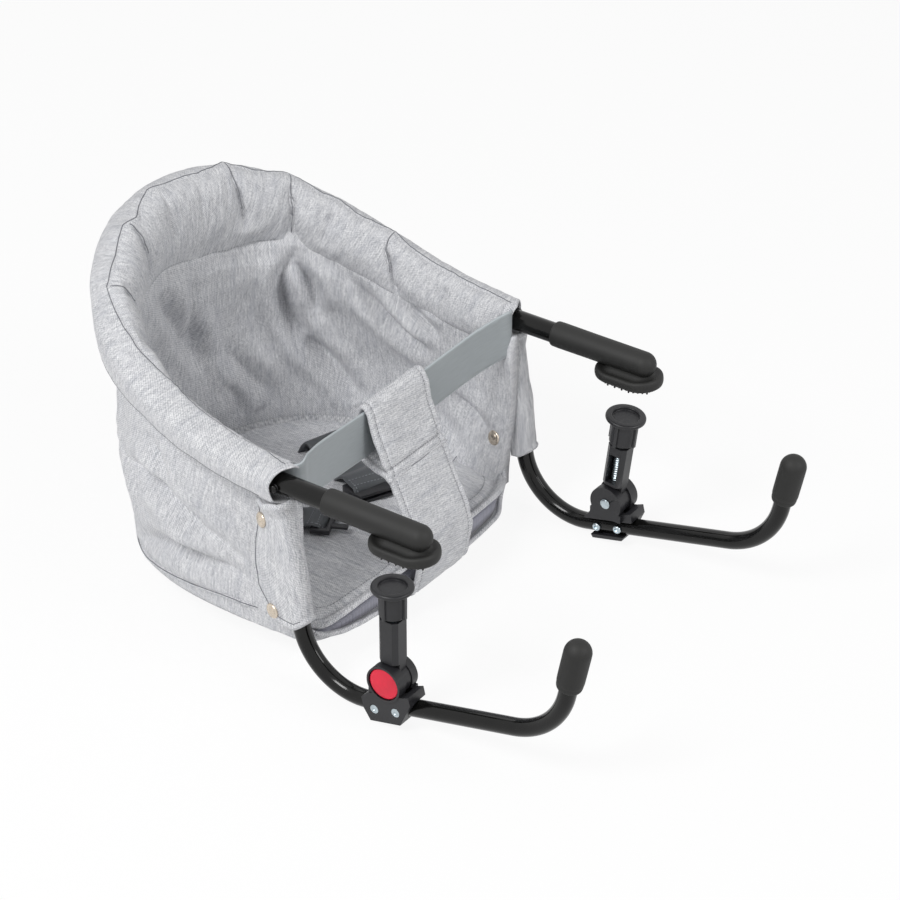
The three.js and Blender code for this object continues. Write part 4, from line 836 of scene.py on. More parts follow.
# Rows of the sole: (inset from its edge, height, lift of its front end)
SOLE_ROWS = [
    (21, 3, 0), (14, 3, 0), (4, 3, 0), (1.6, 3.2, 0), (0.5, 4.2, 0), (0, 6, 0.3), (0, 8, 0.8),
    (0.3, 9.8, 1.4), (1.1, 11, 1.8), (2.4, 11.6, 2), (3.8, 11.5, 2), (5.4, 10.9, 1.7), (7, 10.7, 1.4),
    (8.6, 11.2, 1), (10.4, 12.6, 0.6), (12.4, 14.4, 0.3), (15, 15, 0), (21, 15, 0),
]


def nub_places():
    """Rows of nubs under the left sole."""
    places = []
    half = SOLE_LENGTH / 2 - SOLE_HALF
    for i, y in enumerate(np.arange(-29, 29.1, NUB_PITCH)):
        for x in np.arange(-18.5, 18.6, NUB_PITCH) + (i % 2) * NUB_PITCH / 2:
            if math.hypot(x, max(0, abs(y) - half)) < SOLE_HALF - 4:
                places.append((ARM_X + x, SOLE_MIDDLE_Y + y, 0))
    return np.array(places)


GRIP_DOME, CAP_DOME = 94.5, 38  # where the round ends begin
GRIP_PROFILE = [(0, 91.8), (9.8, 91.8), (9.8, 0.9, 0.5), (10.5, 0, 0.4), (11.8, 0, 1.6), (12, 8, 3),
                (GRIP_R, 40), (GRIP_R, GRIP_DOME)]
CAP_PROFILE = [(0, CAP_BORE_DEPTH), (8.3, CAP_BORE_DEPTH), (8.3, 0.8, 0.5), (9.2, 0, 0.4), (10.9, 0, 1.3),
               (11.5, 3, 1), (11.5, 5.2, 0.8), (11.9, 7, 1), (CAP_R, 22), (CAP_R, CAP_DOME)]


class CHAIR_OT_grips(bpy.types.Operator):
    """Rubber grips, nubbed soles and tip caps"""
    bl_idname = "chair.grips"
    bl_label = "Grips and caps"

    def execute(self, context):
        grip = np.concatenate([rounded(GRIP_PROFILE), dome(GRIP_R, GRIP_DOME)])
        cap = np.concatenate([rounded(CAP_PROFILE), dome(CAP_R, CAP_DOME)])
        cap_foot = FRONT_CORNER + (TIP_LENGTH - CAP_LENGTH) * TIP_UP
        sole = np.array([sole_ring(*row) for row in SOLE_ROWS])
        for side in SIDES:
            rings = to_side(turned(grip, (ARM_X, GRIP_REAR_Y, ARM_Z), (0, -1, 0)), side)
            ring_piece(f"{side}_grip", rings, "rubber", 50, "seat", f"{side}_arm_grip")
            ring_piece(f"{side}_sole", to_side(sole, side), "rubber", 60, "seat", f"{side}_grip_sole")
            rings = to_side(turned(cap, cap_foot, TIP_UP), side)
            ring_piece(f"{side}_cap", rings, "rubber", 50, f"{side}_leg", f"{side}_tip_cap")
        tree = nub_tree()
        both = np.concatenate([to_side(nub_places(), side) for side in SIDES])
        values = {"Radius": sizes().nub_radius, "Height": sizes().nub_height}
        place_piece(grown("sole_nubs", both, [], tree, values, "rubber"), "seat", "rubber")
        return {"FINISHED"}


# Clamps

def mirror_piece(piece, side):
    """Moves a piece made for the child's left to that side."""
    if side == "right":
        mesh = piece.data
        work = bmesh.new()
        work.from_mesh(mesh)
        bmesh.ops.scale(work, vec=(-1, 1, 1), verts=work.verts)
        bmesh.ops.reverse_faces(work, faces=work.faces)
        work.to_mesh(mesh)
        work.free()
    return piece


SCREW_PLACES = {"rear": 11.5, "front": -11.5}
SADDLE_OUTLINE = [(-30, 17.7), (-30, 9.5), (-23, 0), (-14, -11.9), (18.5, -11.9), (23, 0), (23, 10.8),
                  (14, 16.5), (-23, 16.5)]


def make_bracket(name):
    """Saddle on the lower tube with the boss and the ear of the hub."""
    bracket = solid(Shape().loft(along_lower(prism(SADDLE_OUTLINE, -9, 13.3))))
    bracket.name = name
    foot = -16
    combine(bracket, "DIFFERENCE", at_hub(rod_x(-EAR_INNER, EAR_INNER, 2 * POST_ROOT + 0.3)))
    combine(bracket, "UNION",
            at_hub(rod_x(EAR_INNER, BOSS_FACE, BOSS_D)),
            at_hub(rod_x(-EAR_FACE, -EAR_INNER, EAR_D)),
            at_hub(block(EAR_INNER, BOSS_FACE - 2.5, -BOSS_D / 2, BOSS_D / 2, foot, -BOSS_D / 4)),
            at_hub(block(-EAR_FACE, -EAR_INNER, -EAR_D / 2, EAR_D / 2, foot, -EAR_D / 4)))
    tube = along_lower(rod((0, -60, 0), (0, 60, 0), 2 * (LEG_R + 0.3)))
    open_side = along_lower(block(-20, 0, -60, 60, -LEG_R - 0.3, LEG_R + 0.3))
    sinks = [along_lower(rod_x(12, 30, 9, y)) for y in SCREW_PLACES.values()]
    combine(bracket, "DIFFERENCE", at_hub(rod_x(WELL_FLOOR, 40, 2 * BUTTON_R + 0.8)),
            at_hub(rod_x(-40, WELL_FLOOR + 0.3, 7.6)), tube, open_side, *sinks)
    return ease_edges(bracket, sizes().edge_round)


def make_post(name, lean):
    """Eight-sided column on a round lug, with the spindle's bore and the slot on its inner side."""
    w, c = 10, 4
    outline = [(-w, -w + c), (-w + c, -w), (w - c, -w), (w, -w + c),
               (w, w - c), (w - c, w), (-w + c, w), (-w, w - c)]
    column = np.array([[(x, y, z) for x, y in outline] for z in (POST_ROOT, POST_TOP)], float)
    post = solid(Shape().loft(at_hub(column, lean)))
    post.name = name
    combine(post, "UNION", at_hub(rod_x(-4.5, 4.5, LUG_D), lean),
            at_hub(block(-4.5, 4.5, -w, w, 0, POST_ROOT + 0.3), lean))
    combine(post, "DIFFERENCE",
            at_hub(rod((0, 0, SPINDLE_FOOT - 0.3), (0, 0, 2 * POST_TOP), 2 * SPINDLE_R + 0.8), lean),
            at_hub(block(-20, 0, -5.5, 5.5, 22, 53), lean),
            at_hub(rod((0, 0, POST_TOP - 6.6), (0, 0, 2 * POST_TOP), 15.6), lean),
            at_hub(rod_x(-20, 20, 7.8), lean))
    return ease_edges(post, sizes().edge_round * 1.2)


def make_yoke(name):
    """Fork in the top of the lower tube."""
    yoke = solid(Shape().loft(on_leg(block(-12.1, 12.1, -8, 8, -21, 0))))
    yoke.name = name
    combine(yoke, "UNION", on_leg(rod_x(-12.1, 12.1, 16)), on_leg(rod((0, 0, -49), (0, 0, -18), 11)))
    combine(yoke, "DIFFERENCE", on_leg(block(-9.9, 9.9, -16, 16, -15, 16)), on_leg(rod_x(-30, 30, 6.6)))
    return ease_edges(yoke, sizes().edge_round)


def spindle_rings():
    """A two-start screw with a flat crest, along Z from the hub."""
    pitch, depth, top = 2.5, 0.55, FOOT_BORE_TOP - 0.3
    rows = np.linspace(SPINDLE_FOOT, top, 260)
    turn = np.linspace(0, 2 * math.pi, 40, endpoint=False)
    phase = (rows[:, None] / (2 * pitch) - turn[None] / (2 * math.pi)) * 2 % 1
    groove = smoothstep(0.1, 0.32, phase) * (1 - smoothstep(0.68, 0.9, phase))
    ends = smoothstep(0, 2.5, np.minimum(rows - SPINDLE_FOOT, top - rows))[:, None]
    radius = SPINDLE_R - 0.8 * (1 - ends) - depth * groove * ends
    return np.stack(np.broadcast_arrays(radius * np.cos(turn), radius * np.sin(turn), rows[:, None]), -1)


def make_foot(name, lean):
    """Dished foot with a skirt and four ribs under its flange."""
    profile = rounded([
        (0, FOOT_BORE_TOP), (5.3, FOOT_BORE_TOP), (5.3, FOOT_SOLE, 0.3), (10.8, FOOT_SOLE, 0.8),
        (12.1, 65.4, 0.6), (12.25, 76), (12.25, 87.6, 2.2), (17.4, 90, 1), (18.75, 90.8, 0.9),
        (18.75, 93.2, 0.9), (17.6, 94.2, 0.8), (13.2, 94.2, 0.6), (12.5, 93.6, 0.4), (12.2, 91.4, 0.5),
        (11.4, 91.2, 0.4), (0, 91.1),
    ])
    foot = solid(Shape().sheet(at_hub(turned(profile, (0, 0, 0), (0, 0, 1)), lean), wrap=True), 45)
    foot.name = name
    rib = block(10.6, 13.85, -1.6, 1.6, FOOT_SOLE + 0.4, 91.5)
    combine(foot, "UNION", *(at_hub(spun(rib, quarter * math.pi / 2), lean) for quarter in range(4)))
    return ease_edges(foot, sizes().edge_round * 0.8, 50)


SPRING_PROFILE = [(13, 0.3), (13, 1.1), (5.5, 2.5), (5.5, 1.7), (13, 0.3)]
BUTTON_PROFILE = [(0, 0), (14.4, 0, 0.3), (15, 0.6, 0.3), (15, 3.1, 0.6), (14.2, 4, 0.8), (8, 4.35, 4),
                  (0, 4.4)]
PIN_PROFILE = [(0, -20), (3.5, -20), (3.5, 0), (4.8, 0, 0.2), (5, 0.3, 0.2), (4.9, 0.8, 0.4), (3.4, 1.4, 0.8),
               (0, 1.5)]
RIVET_PROFILE = [(0, -14.4), (2.4, -14.3, 1), (4, -13.2, 0.6), (4, -12.4), (3, -12.4), (3, 12.4), (4, 12.4),
                 (4, 13.2, 0.6), (2.4, 14.3, 1), (0, 14.4)]
SCREW_PROFILE = [(0, 1.1), (2, 1.1), (2.1, 2.4), (2.5, 2.6), (3.3, 2.4), (4, 1.5), (4.2, 0.6), (4.2, 0),
                 (2.1, 0), (2.1, -20.5), (4.1, -20.5), (4.2, -20.7), (4.2, -21.5), (3.9, -21.75),
                 (1.4, -21.8), (1, -21.3), (0, -21.2)]
SOCKET_ROWS = (1, 2)  # six-sided rows of the screw's profile


class CHAIR_OT_clamps(bpy.types.Operator):
    """Brackets, folding posts, screw feet, buttons, pins and screws"""
    bl_idname = "chair.clamps"
    bl_label = "Clamps"

    def execute(self, context):
        for side in SIDES:
            lean = POST_LEAN[side]
            leg, post = f"{side}_leg", f"{side}_post"

            def lathe(name, profile, rings_at, finish, body, node, hexed=(), sides=56):
                rings = to_side(rings_at(turned(profile, (0, 0, 0), (1, 0, 0), sides, hexed)), side)
                return ring_piece(f"{side}_{name}", rings, finish, 40, body, f"{side}_{node}")

            for build, body, node in (
                (make_bracket(f"{side}_bracket"), leg, "clamp_bracket"),
                (make_yoke(f"{side}_yoke"), leg, "pivot_yoke"),
                (make_post(f"{side}_fold_post", lean), post, "folding_post"),
                (make_foot(f"{side}_dish_foot", lean), f"{side}_foot", "screw_foot"),
            ):
                place_piece(mirror_piece(build, side), body, "plastic", f"{side}_{node}")
            rings = to_side(at_hub(spindle_rings(), lean), side)
            made = Shape().loft(rings).object(f"{side}_spindle_screw", "zinc", 60)
            place_piece(made, f"{side}_spindle", "zinc", f"{side}_screw_spindle")
            lathe("button", rounded(BUTTON_PROFILE), lambda r: at_hub(r) + (BUTTON_BACK, 0, 0), "red",
                  f"{side}_button", "release_button", sides=72)
            spring = lathe("spring_washer", SPRING_PROFILE, lambda r: at_hub(r) + (WELL_FLOOR, 0, 0), "zinc",
                           leg, "button_spring")
            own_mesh(spring)
            lathe("pin", rounded(PIN_PROFILE), lambda r: at_hub(r * (-1, 1, 1) - (EAR_FACE + 0.3, 0, 0)),
                  "zinc", leg, "hub_pin")
            # The rivet takes the black enamel in place of zinc: painted shade of the dark sleeve mouth it
            # sits in.
            lathe("rivet", rounded(RIVET_PROFILE), lambda r: r + PIVOT, "enamel", leg, "pivot_rivet")
            for which, y in SCREW_PLACES.items():
                lathe(f"{which}_screw", SCREW_PROFILE,
                      lambda r: along_lower(r * (-1, 1, 1) + (-LEG_R - 0.3, y, 0)), "zinc", leg,
                      f"{which}_clamp_screw", SOCKET_ROWS, 48)
            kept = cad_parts[f"{side}_spindle_nut"]
            kept.data.materials.clear()
            kept.data.materials.append(FINISHES["zinc"])
        return {"FINISHED"}


# Cloth of the bucket

RIM_STATIONS, BAND_STATIONS, WALL_STATIONS, WALL_ROWS = 481, 561, 361, 131
RIM_HALF_RUN, WALL_HALF_RUN = 376.5, 360
MOUTH_TILT = 11


def table(value, *pairs):
    """Straight runs through (place, amount) pairs."""
    places, amounts = zip(*pairs)
    return np.interp(value, places, amounts)


def bell(value, width):
    return np.exp(-(np.asarray(value) / width) ** 2)


def cusp(value, width):
    """A sharp crease that fades over the width."""
    return np.exp(-np.abs(value) / width)


def polar(angle, radius):
    return np.stack(np.broadcast_arrays(radius * np.cos(angle), radius * np.sin(angle)), -1)


def pairs(across, up, like):
    return np.stack(np.broadcast_arrays(across, up, like), -1)[..., :2]


# Pinch seams across the band: (place at the top, place at the foot, strength, share of the way down)
PINCHES = [
    (-0.62, -0.62, 0.6, 0.9), (-0.47, -0.46, 0.7, 0.9), (-0.345, -0.37, 1.0, 1.0), (-0.172, -0.19, 1.1, 1.0),
    (-0.035, -0.05, 0.6, 0.7), (0.075, 0.085, 0.3, 0.6), (0.187, 0.285, 1.0, 0.8), (0.345, 0.412, 1.6, 1.1),
    (0.46, 0.48, 0.6, 0.8), (0.61, 0.70, 1.0, 1.0), (0.8, 0.82, 0.5, 0.9),
]
# Pinch seams whose slit gets a dark line of painted shade: (place at the top, place at the foot, share of the
# way down)
SLITS = [
    (-0.345, -0.37, 0.34), (-0.172, -0.19, 0.42), (0.187, 0.285, 0.42), (0.345, 0.412, 0.97),
    (0.61, 0.70, 0.5),
]
# The top seam: (place along the rim, degrees round the rim from its outer side)
RIDGE_ANGLES = [
    (-1, 135), (-0.6, 135), (-0.5, 104), (-0.42, 96), (-0.345, 86), (-0.33, 92), (-0.26, 108), (-0.178, 105),
    (-0.165, 113), (-0.14, 124), (-0.12, 118), (-0.1, 110), (-0.045, 96), (-0.025, 102), (0, 109), (0.1, 118),
    (0.15, 106), (0.187, 84), (0.2, 94), (0.25, 108), (0.3, 101), (0.345, 78), (0.36, 90), (0.41, 104),
    (0.46, 94), (0.52, 103), (0.61, 84), (0.64, 96), (0.75, 101), (1, 98),
]


def ridge_angle(t):
    """Where the top seam runs round the rim: further in between the pinch seams and on the child's right."""
    return np.radians(table(t, *RIDGE_ANGLES))


def ridge_radius(t):
    """The pinch seams hold the top seam up, and it hangs straight between them."""
    held = np.max([strength * cusp((t - top) * RIM_HALF_RUN, 20) for top, _, strength, _ in PINCHES], axis=0)
    return 18.6 + 3.6 * np.minimum(held, 1) * (1 - smoothstep(0.8, 0.95, np.abs(t)))


def collar_drop(t):
    return table(np.abs(t), (0, 30), (0.38, 30), (0.5, 19), (0.62, 11), (0.8, 9), (1, 9))


def band_drop(t):
    return table(t, (-1, 24), (-0.6, 24), (-0.35, 40), (-0.2, 48), (-0.1, 51), (0.07, 63), (0.22, 58),
                 (0.3, 46), (0.37, 36), (0.51, 31), (0.72, 22), (1, 20))


def collar_controls(t):
    angle, drop = ridge_angle(t), collar_drop(t)
    panel = [
        polar(angle, ridge_radius(t)), polar(angle - math.radians(26), 19.6),
        polar(math.radians(45) + 0 * t, 19.6), polar(math.radians(12) + 0 * t, 18.9),
        pairs(14.8, -drop, t), pairs(11, 1.2 - drop, t),
        pairs(3, -15, t), pairs(-11, -12, t), pairs(-15.5, 0, t), polar(angle + math.radians(30), 15.5),
    ]
    mouth = smoothstep(0.9, 0.985, np.abs(t))[:, None]
    ring = [polar(math.radians(a) + 0 * t, 18.4) for a in (110, 75, 45, 12, -36, -62, -95, -135, 180, 145)]
    return [p * (1 - mouth) + r * mouth for p, r in zip(panel, ring)]


def band_controls(t):
    angle, drop = ridge_angle(t), band_drop(t)
    over = angle + 0.45 * (math.radians(175) - angle)
    return [
        polar(angle, ridge_radius(t) - 0.3), polar(over, 22.2), pairs(-25, 1, t), pairs(-27, -0.36 * drop, t),
        pairs(-24.6, -0.74 * drop, t), pairs(-19.2, -drop, t), pairs(-16.4, 1.4 - drop, t),
        pairs(-13, -0.5 * drop, t), pairs(-11, 0, t), polar(angle, 11),
    ]


def swept(sections, path, out, up):
    """Places of flat sections, given across and up, along the rim."""
    return path[:, None] + sections[..., :1] * out[:, None] + sections[..., 1:] * up[:, None]


def pinch_depth(t, fall, narrow):
    """How deep the pinch seams draw the band in, at a place along the rim and a share of the way down."""
    total = np.zeros(np.broadcast(t, fall).shape)
    for top, foot, strength, reach in PINCHES:
        gap = (t - top - (foot - top) * fall) * RIM_HALF_RUN
        held = strength * (1 - smoothstep(reach - 0.3, reach, fall))
        total = np.maximum(total, held * (narrow * cusp(gap, 2.2) + 0.36 * bell(gap, 17)))
    return total


def rim_collar():
    t = np.linspace(-1, 1, RIM_STATIONS)
    path, _ = rim_line(SLEEVE_MOUTH_Y, RIM_STATIONS)
    ahead, out, up = path_frames(path)
    sections = closed_curve(np.array(collar_controls(t)), 7)
    rings = swept(sections, path, out, up)
    away = unit(rings - path[:, None])
    along = np.broadcast_to((t * RIM_HALF_RUN)[:, None], rings.shape[:2])
    seam = bell(np.arange(rings.shape[1]) - 3, 8)
    pucker = ripple(np.stack([along / 5, sections[..., 0] / 30, sections[..., 1] / 30], -1), 1.0, 2.6) * seam
    soft = 0.8 * ripple(rings, 26, 3.1) + 0.4 * ripple(rings, 9, 8.3) + 0.7 * pucker
    rings = rings + away * (soft * smoothstep(0, 0.05, 1 - np.abs(t))[:, None])[..., None]
    outward = np.clip((sections[..., 0] + 4) / 22, 0, 1)
    rings[..., 1] += MOUTH_TILT * smoothstep(0.95, 1, np.abs(t))[:, None] * outward
    ends = []
    for k, sign in ((0, 1), (-1, -1)):
        def inward(scale, run):
            return path[k] + (rings[k] - path[k]) * scale + sign * run * ahead[k]
        ends.append([inward(*step) for step in ((0.82, 34), (0.85, 14), (0.87, 2), (0.9, -0.6), (0.96, -1))])
    return np.array([*ends[0], *rings, *ends[1][::-1]]), rings


BAND_FACE_POINTS = 41
# The sharp part of a pinch, that of the seam which bridges it and carries the painted slit shade, and how far
# that painted line stands out
PINCH_CREASE, SHADE_LINE_CREASE, SHADE_LINE_LIFT = 0.64, 0.12, 0.7
PINCH_DRAW, PINCH_DIP = 10.5, 5  # how far a pinch draws the band out, and down at its top


def rim_band():
    t = np.linspace(-0.975, 0.975, BAND_STATIONS)
    full, _ = rim_line(SLEEVE_MOUTH_Y, 2001)
    path = np.stack([np.interp(t, np.linspace(-1, 1, 2001), full[:, k]) for k in range(3)], -1)
    _, out, up = path_frames(path)
    sections = closed_curve(np.array(band_controls(t)), 8)
    drop = band_drop(t)[:, None]
    fall = np.clip((20 - sections[..., 1]) / (20 + drop), 0, 1)
    facing = (np.arange(sections.shape[1]) < BAND_FACE_POINTS).astype(float)
    body = smoothstep(0, 0.05, fall) * (1 - 0.6 * smoothstep(0.8, 1, fall)) * facing
    along = np.broadcast_to((t * RIM_HALF_RUN)[:, None], fall.shape)

    def pinched(narrow):
        """Rings of the band, drawn in along its seams."""
        pull = pinch_depth(t[:, None], fall, narrow)
        drawn = sections.copy()
        drawn[..., 0] += PINCH_DRAW * pull * body * smoothstep(0, 0.3, fall)
        drawn[..., 1] -= PINCH_DIP * pull * body * (1 - smoothstep(0.02, 0.4, fall))
        crease = ripple(np.stack([along / 6, drawn[..., 1] / 42, 0 * fall], -1), 1.0, 7.1)
        rings = swept(drawn, path, out, up)
        soft = ripples(rings, (1.7, 30, 5.7), (0.7, 12, 1.3)) + 0.8 * crease
        return rings - out[:, None] * (soft * body)[..., None]
    shade_line_rings = pinched(SHADE_LINE_CREASE) - SHADE_LINE_LIFT * out[:, None]
    return pinched(PINCH_CREASE), [slit_line(t, fall, shade_line_rings, *slit) for slit in SLITS]


def slit_line(t, fall, rings, top, foot, end):
    """The seam over a pinch, from the top seam down to a share of the band's height: the line of painted
    shade for the slit's shadow.
    """
    found = []
    for j in range(BAND_FACE_POINTS - 4):
        i = int(np.argmin(np.abs(t - top - (foot - top) * fall[:, j])))
        if fall[i, j] > end:
            break
        found.append(rings[i, j])
    line = np.array(found)
    line[1:-1] = (line[:-2] + 2 * line[1:-1] + line[2:]) / 4
    return line


# Folds of the wall: (depth, width, places along the wall and heights)
INNER_FOLD_SCALE, OUTER_FOLD_SCALE = 1.9, 1.5
INNER_FOLDS = [
    (9.0, 8, [(0.36, 54), (0.322, 27), (0.338, -14), (0.372, -44), (0.458, -79), (0.532, -111)]),
    (6.5, 7, [(0.358, 45), (0.385, 26), (0.403, 7), (0.407, -15)]),
    (6.5, 8, [(0.505, 28), (0.603, -5), (0.673, -21), (0.757, -30)]),
    (5.0, 7, [(0.683, 15), (0.738, -1), (0.783, -11)]),
    (6.5, 9, [(-0.108, 64), (-0.022, 18), (0.053, -26), (0.092, -54)]),
    (4.0, 8, [(0.035, 58), (0.038, 17), (0.083, -40)]),
    (6.0, 9, [(0.17, -45), (0.238, -82), (0.287, -102)]),
    (5.0, 9, [(0.138, -73), (0.183, -95), (0.19, -116)]),
    (5.0, 8, [(0.812, -68), (0.875, -83), (0.932, -98)]),
    (4.5, 9, [(-0.36, 40), (-0.42, 0), (-0.4, -60)]),
    (4.5, 9, [(-0.6, 5), (-0.68, -30), (-0.8, -60)]),
]
OUTER_FOLDS = [
    (8.0, 10, [(-0.325, -46), (-0.523, -36), (-0.612, -46), (-0.688, -60), (-0.765, -71), (-0.847, -83)]),
    (6.0, 8, [(-0.51, 8), (-0.565, -8), (-0.597, -19), (-0.613, -31)]),
    (7.0, 10, [(-0.4, -130), (-0.568, -103), (-0.728, -95), (-0.845, -101)]),
    (5.5, 9, [(-0.3, 20), (-0.33, -20), (-0.42, -70), (-0.45, -105)]),
    (5.0, 10, [(-0.1, 60), (-0.05, 0), (-0.08, -60)]),
    (5.0, 10, [(0.12, 50), (0.16, -10), (0.12, -80)]),
    (6.0, 9, [(0.36, 40), (0.4, -10), (0.37, -70), (0.42, -110)]),
    (7.0, 10, [(0.325, -46), (0.523, -36), (0.65, -50), (0.78, -75)]),
    (6.5, 10, [(0.42, -128), (0.58, -103), (0.74, -97), (0.86, -103)]),
]


def fold_line(along, high, depth, width, line):
    """A crease along a line on the wall with a swell on both its sides, fading to its ends."""
    points = curved([(s * WALL_HALF_RUN, z) for s, z in line], 30)
    nearest = np.full(along.shape, 1e9)
    place = np.zeros(along.shape)
    for k, (a, b) in enumerate(zip(points, points[1:])):
        step = b - a
        share = np.clip(((along - a[0]) * step[0] + (high - a[1]) * step[1]) / (step @ step), 0, 1)
        gap = np.hypot(along - a[0] - share * step[0], high - a[1] - share * step[1])
        closer = gap < nearest
        nearest = np.where(closer, gap, nearest)
        place = np.where(closer, (k + share) / (len(points) - 1), place)
    fade = np.sin(np.pi * np.clip(place, 0.02, 0.98)) ** 0.7
    valley = 0.6 * cusp(nearest, 0.6 * width) + 0.4 * bell(nearest, 1.1 * width)
    return depth * fade * (0.5 * bell(nearest - 2.1 * width, 1.3 * width) - valley)


def piping_height(y):
    """Height of the seam round the base, by the place from front to back."""
    return table(y, (95, -125), (190, -126), (250, -133), (330, -140), (370, -141.5))


LEG_CLEAR = ARM_X - LEG_R - 0.8 - WALL_HALF  # reach of the wall's outer face beside the swinging tube
# How far the wall's front corners go back and in, and its edge behind the near flap and its far foot
CORNER_BACK, CORNER_IN, NEAR_EDGE_BACK, FAR_FOOT_IN = 4, 8, 11, 17
WALL_RIPPLES = ((3.0, 60, 0), (1.6, 24, 4), (0.5, 9, 9))  # rise, size, shift of the seed
# How far the wall bellies out behind, starts below the rim, stands off its middle and swells inside
WALL_BELLY, WALL_TOP_DROP, WALL_OUTER, WALL_INNER, WALL_PILLOW = 9.5, 9, 5.2, 3.2, 6.3


class Wall:
    """The wall of the bucket as a lattice: along it from the right front to the left front, and down it."""
    LEAST = 2.6

    def __init__(self):
        self.s = np.linspace(-1, 1, WALL_STATIONS)
        plan = even(u_plan(WALL_HALF, WALL_DEPTH, WALL_FRONT_Y), WALL_STATIONS)
        self.share = plan[:, 2]
        self.foot = np.stack([plan[:, 0], plan[:, 1], 0 * self.s], -1)
        self.out = path_frames(self.foot)[1]
        top = ARM_Z + RIM_RISE * self.share ** 2 - WALL_TOP_DROP
        self.v = np.linspace(0, 1, WALL_ROWS)
        self.high = top[:, None] + (WALL_FOOT_Z - top[:, None]) * self.v
        self.along = np.broadcast_to((self.s * WALL_HALF_RUN)[:, None], self.high.shape)
        belly = smoothstep(0.02, 0.3, self.v) * (1 - smoothstep(0.5, 0.94, self.v))
        self.swell = WALL_BELLY * smoothstep(0.1, 0.5, self.share)[:, None] * belly

    def reach(self, offset, folds, scale, seed):
        """Offset of one face from the plan: swollen, folded and rippled."""
        flat = np.stack([self.along, self.high, 0 * self.high], -1)
        hold = smoothstep(0, 0.12, 1 - self.v) * smoothstep(0, 0.06, self.v)
        pushed = abs(scale) * sum(fold_line(self.along, self.high, *fold) for fold in folds)
        for rise, size, shift in WALL_RIPPLES:
            pushed = pushed + rise * ripple(flat, size, seed + shift)
        return offset + self.swell + math.copysign(1, scale) * pushed * hold

    def points(self, reach):
        """Places of one face, with the front corners drawn back and the one on the child's left drawn in."""
        made = self.foot[:, None] + reach[..., None] * self.out[:, None]
        made = made + self.high[..., None] * np.array([0, 0, 1])
        corner = smoothstep(40, 140, -self.high) * (1 - smoothstep(WALL_FRONT_Y, 160, made[..., 1]))
        made[..., 1] += CORNER_BACK * corner
        near = (made[..., 0] < 0) * (1 - smoothstep(WALL_FRONT_Y, 150, made[..., 1]))
        made[..., 1] += NEAR_EDGE_BACK * near * smoothstep(-138, -75, self.high)
        made[..., 0] -= CORNER_IN * corner * (made[..., 0] > 0)
        return made

    def faces(self):
        """Points of the outer and the inner face, which never meet."""
        drawn = 0.8 * bell(self.high + 103, 13) - 0.6 * smoothstep(-118, -130, self.high)
        outer = self.reach(WALL_OUTER - drawn, OUTER_FOLDS, OUTER_FOLD_SCALE, 2.2)
        outer = np.minimum(outer, LEG_CLEAR + 25 * smoothstep(130, 175, self.foot[:, 1:2]))
        below = self.high[:, :1] + WALL_TOP_DROP - band_drop(self.s)[:, None] - self.high
        pillow = table(below, (-12, 0), (0, 0.75), (16, 1), (40, 0.8), (85, 0.2), (110, 0))
        far_foot = smoothstep(94, 136, -self.high) * (1 - smoothstep(165, 240, self.foot[:, 1:2]))
        padded = -WALL_INNER - pillow * (WALL_PILLOW + self.swell)
        inner = self.reach(padded, INNER_FOLDS, -INNER_FOLD_SCALE, 6.6)
        inner = inner - FAR_FOOT_IN * far_foot * (self.foot[:, :1] > 0)
        thin = np.maximum(0, inner + self.LEAST - outer)
        return self.points(outer + thin / 2), self.points(inner - thin / 2)


def seat_outline(offset, count=240):
    """Plan of the seat, offset outwards from the wall's middle, with rounded front corners."""
    half, back = WALL_HALF + offset, WALL_DEPTH + offset
    turn = np.linspace(0, math.pi, 1200)
    share = np.abs(np.sin(turn)) ** (2 / RIM_ROUNDNESS)
    rear = np.stack([half * np.cos(turn), RIM_START_Y + back * share], -1)
    front_y = SEAT_FRONT_Y - min(0, offset) / 2
    turn = np.linspace(0, math.pi, 1200)[1:]
    bow = np.sin(turn) ** (1 / SEAT_CORNER_ROUND)
    front = np.stack([-half * np.cos(turn), RIM_START_Y - (RIM_START_Y - front_y) * bow], -1)
    return even(np.concatenate([rear, front]), count + 1)[:-1]


def far_corner(outline, inward, back):
    """The outline with the front corner on the child's left drawn in."""
    corner = smoothstep(95, 150, outline[:, 0]) * (1 - smoothstep(105, 165, outline[:, 1]))
    return outline + corner[:, None] * np.array([-inward, back])


SEAT_MIDDLE_Y = (RIM_START_Y + WALL_DEPTH + SEAT_FRONT_Y) / 2


def seat_ring(outline, share, height):
    """The outline drawn in towards the middle of the seat, at a height."""
    x, y = outline[:, 0] * share, SEAT_MIDDLE_Y + (outline[:, 1] - SEAT_MIDDLE_Y) * share
    return np.stack([x, y, height + 0 * x], -1)


def cushion_top(share):
    return CUSHION_Z + CUSHION_EDGE * (1 - smoothstep(0.9, 1.02, share)) + CUSHION_CROWN * (1 - share ** 2)


def pocket_open(points):
    """Share of the pocket's opening: full at the middle of the front edge, none at its corners or behind."""
    x, y = points[..., 0], points[..., 1]
    return (1 - smoothstep(84, 108, y)) * np.clip(1 - (np.abs(x) / 146) ** 4, 0, 1)


def bead(path, radius, sides=12):
    """Rings of a cord sewn along a closed path."""
    ahead = unit(np.roll(path, -1, 0) - np.roll(path, 1, 0))
    side = unit(np.cross((0, 0, 1), ahead))
    over = np.cross(ahead, side)
    turn = np.linspace(0, 2 * math.pi, sides, endpoint=False)[None, :, None]
    rings = path[:, None] + np.asarray(radius).reshape(-1, 1, 1) * (
        np.cos(turn) * side[:, None] + np.sin(turn) * over[:, None])
    return np.concatenate([rings, rings[:1]])


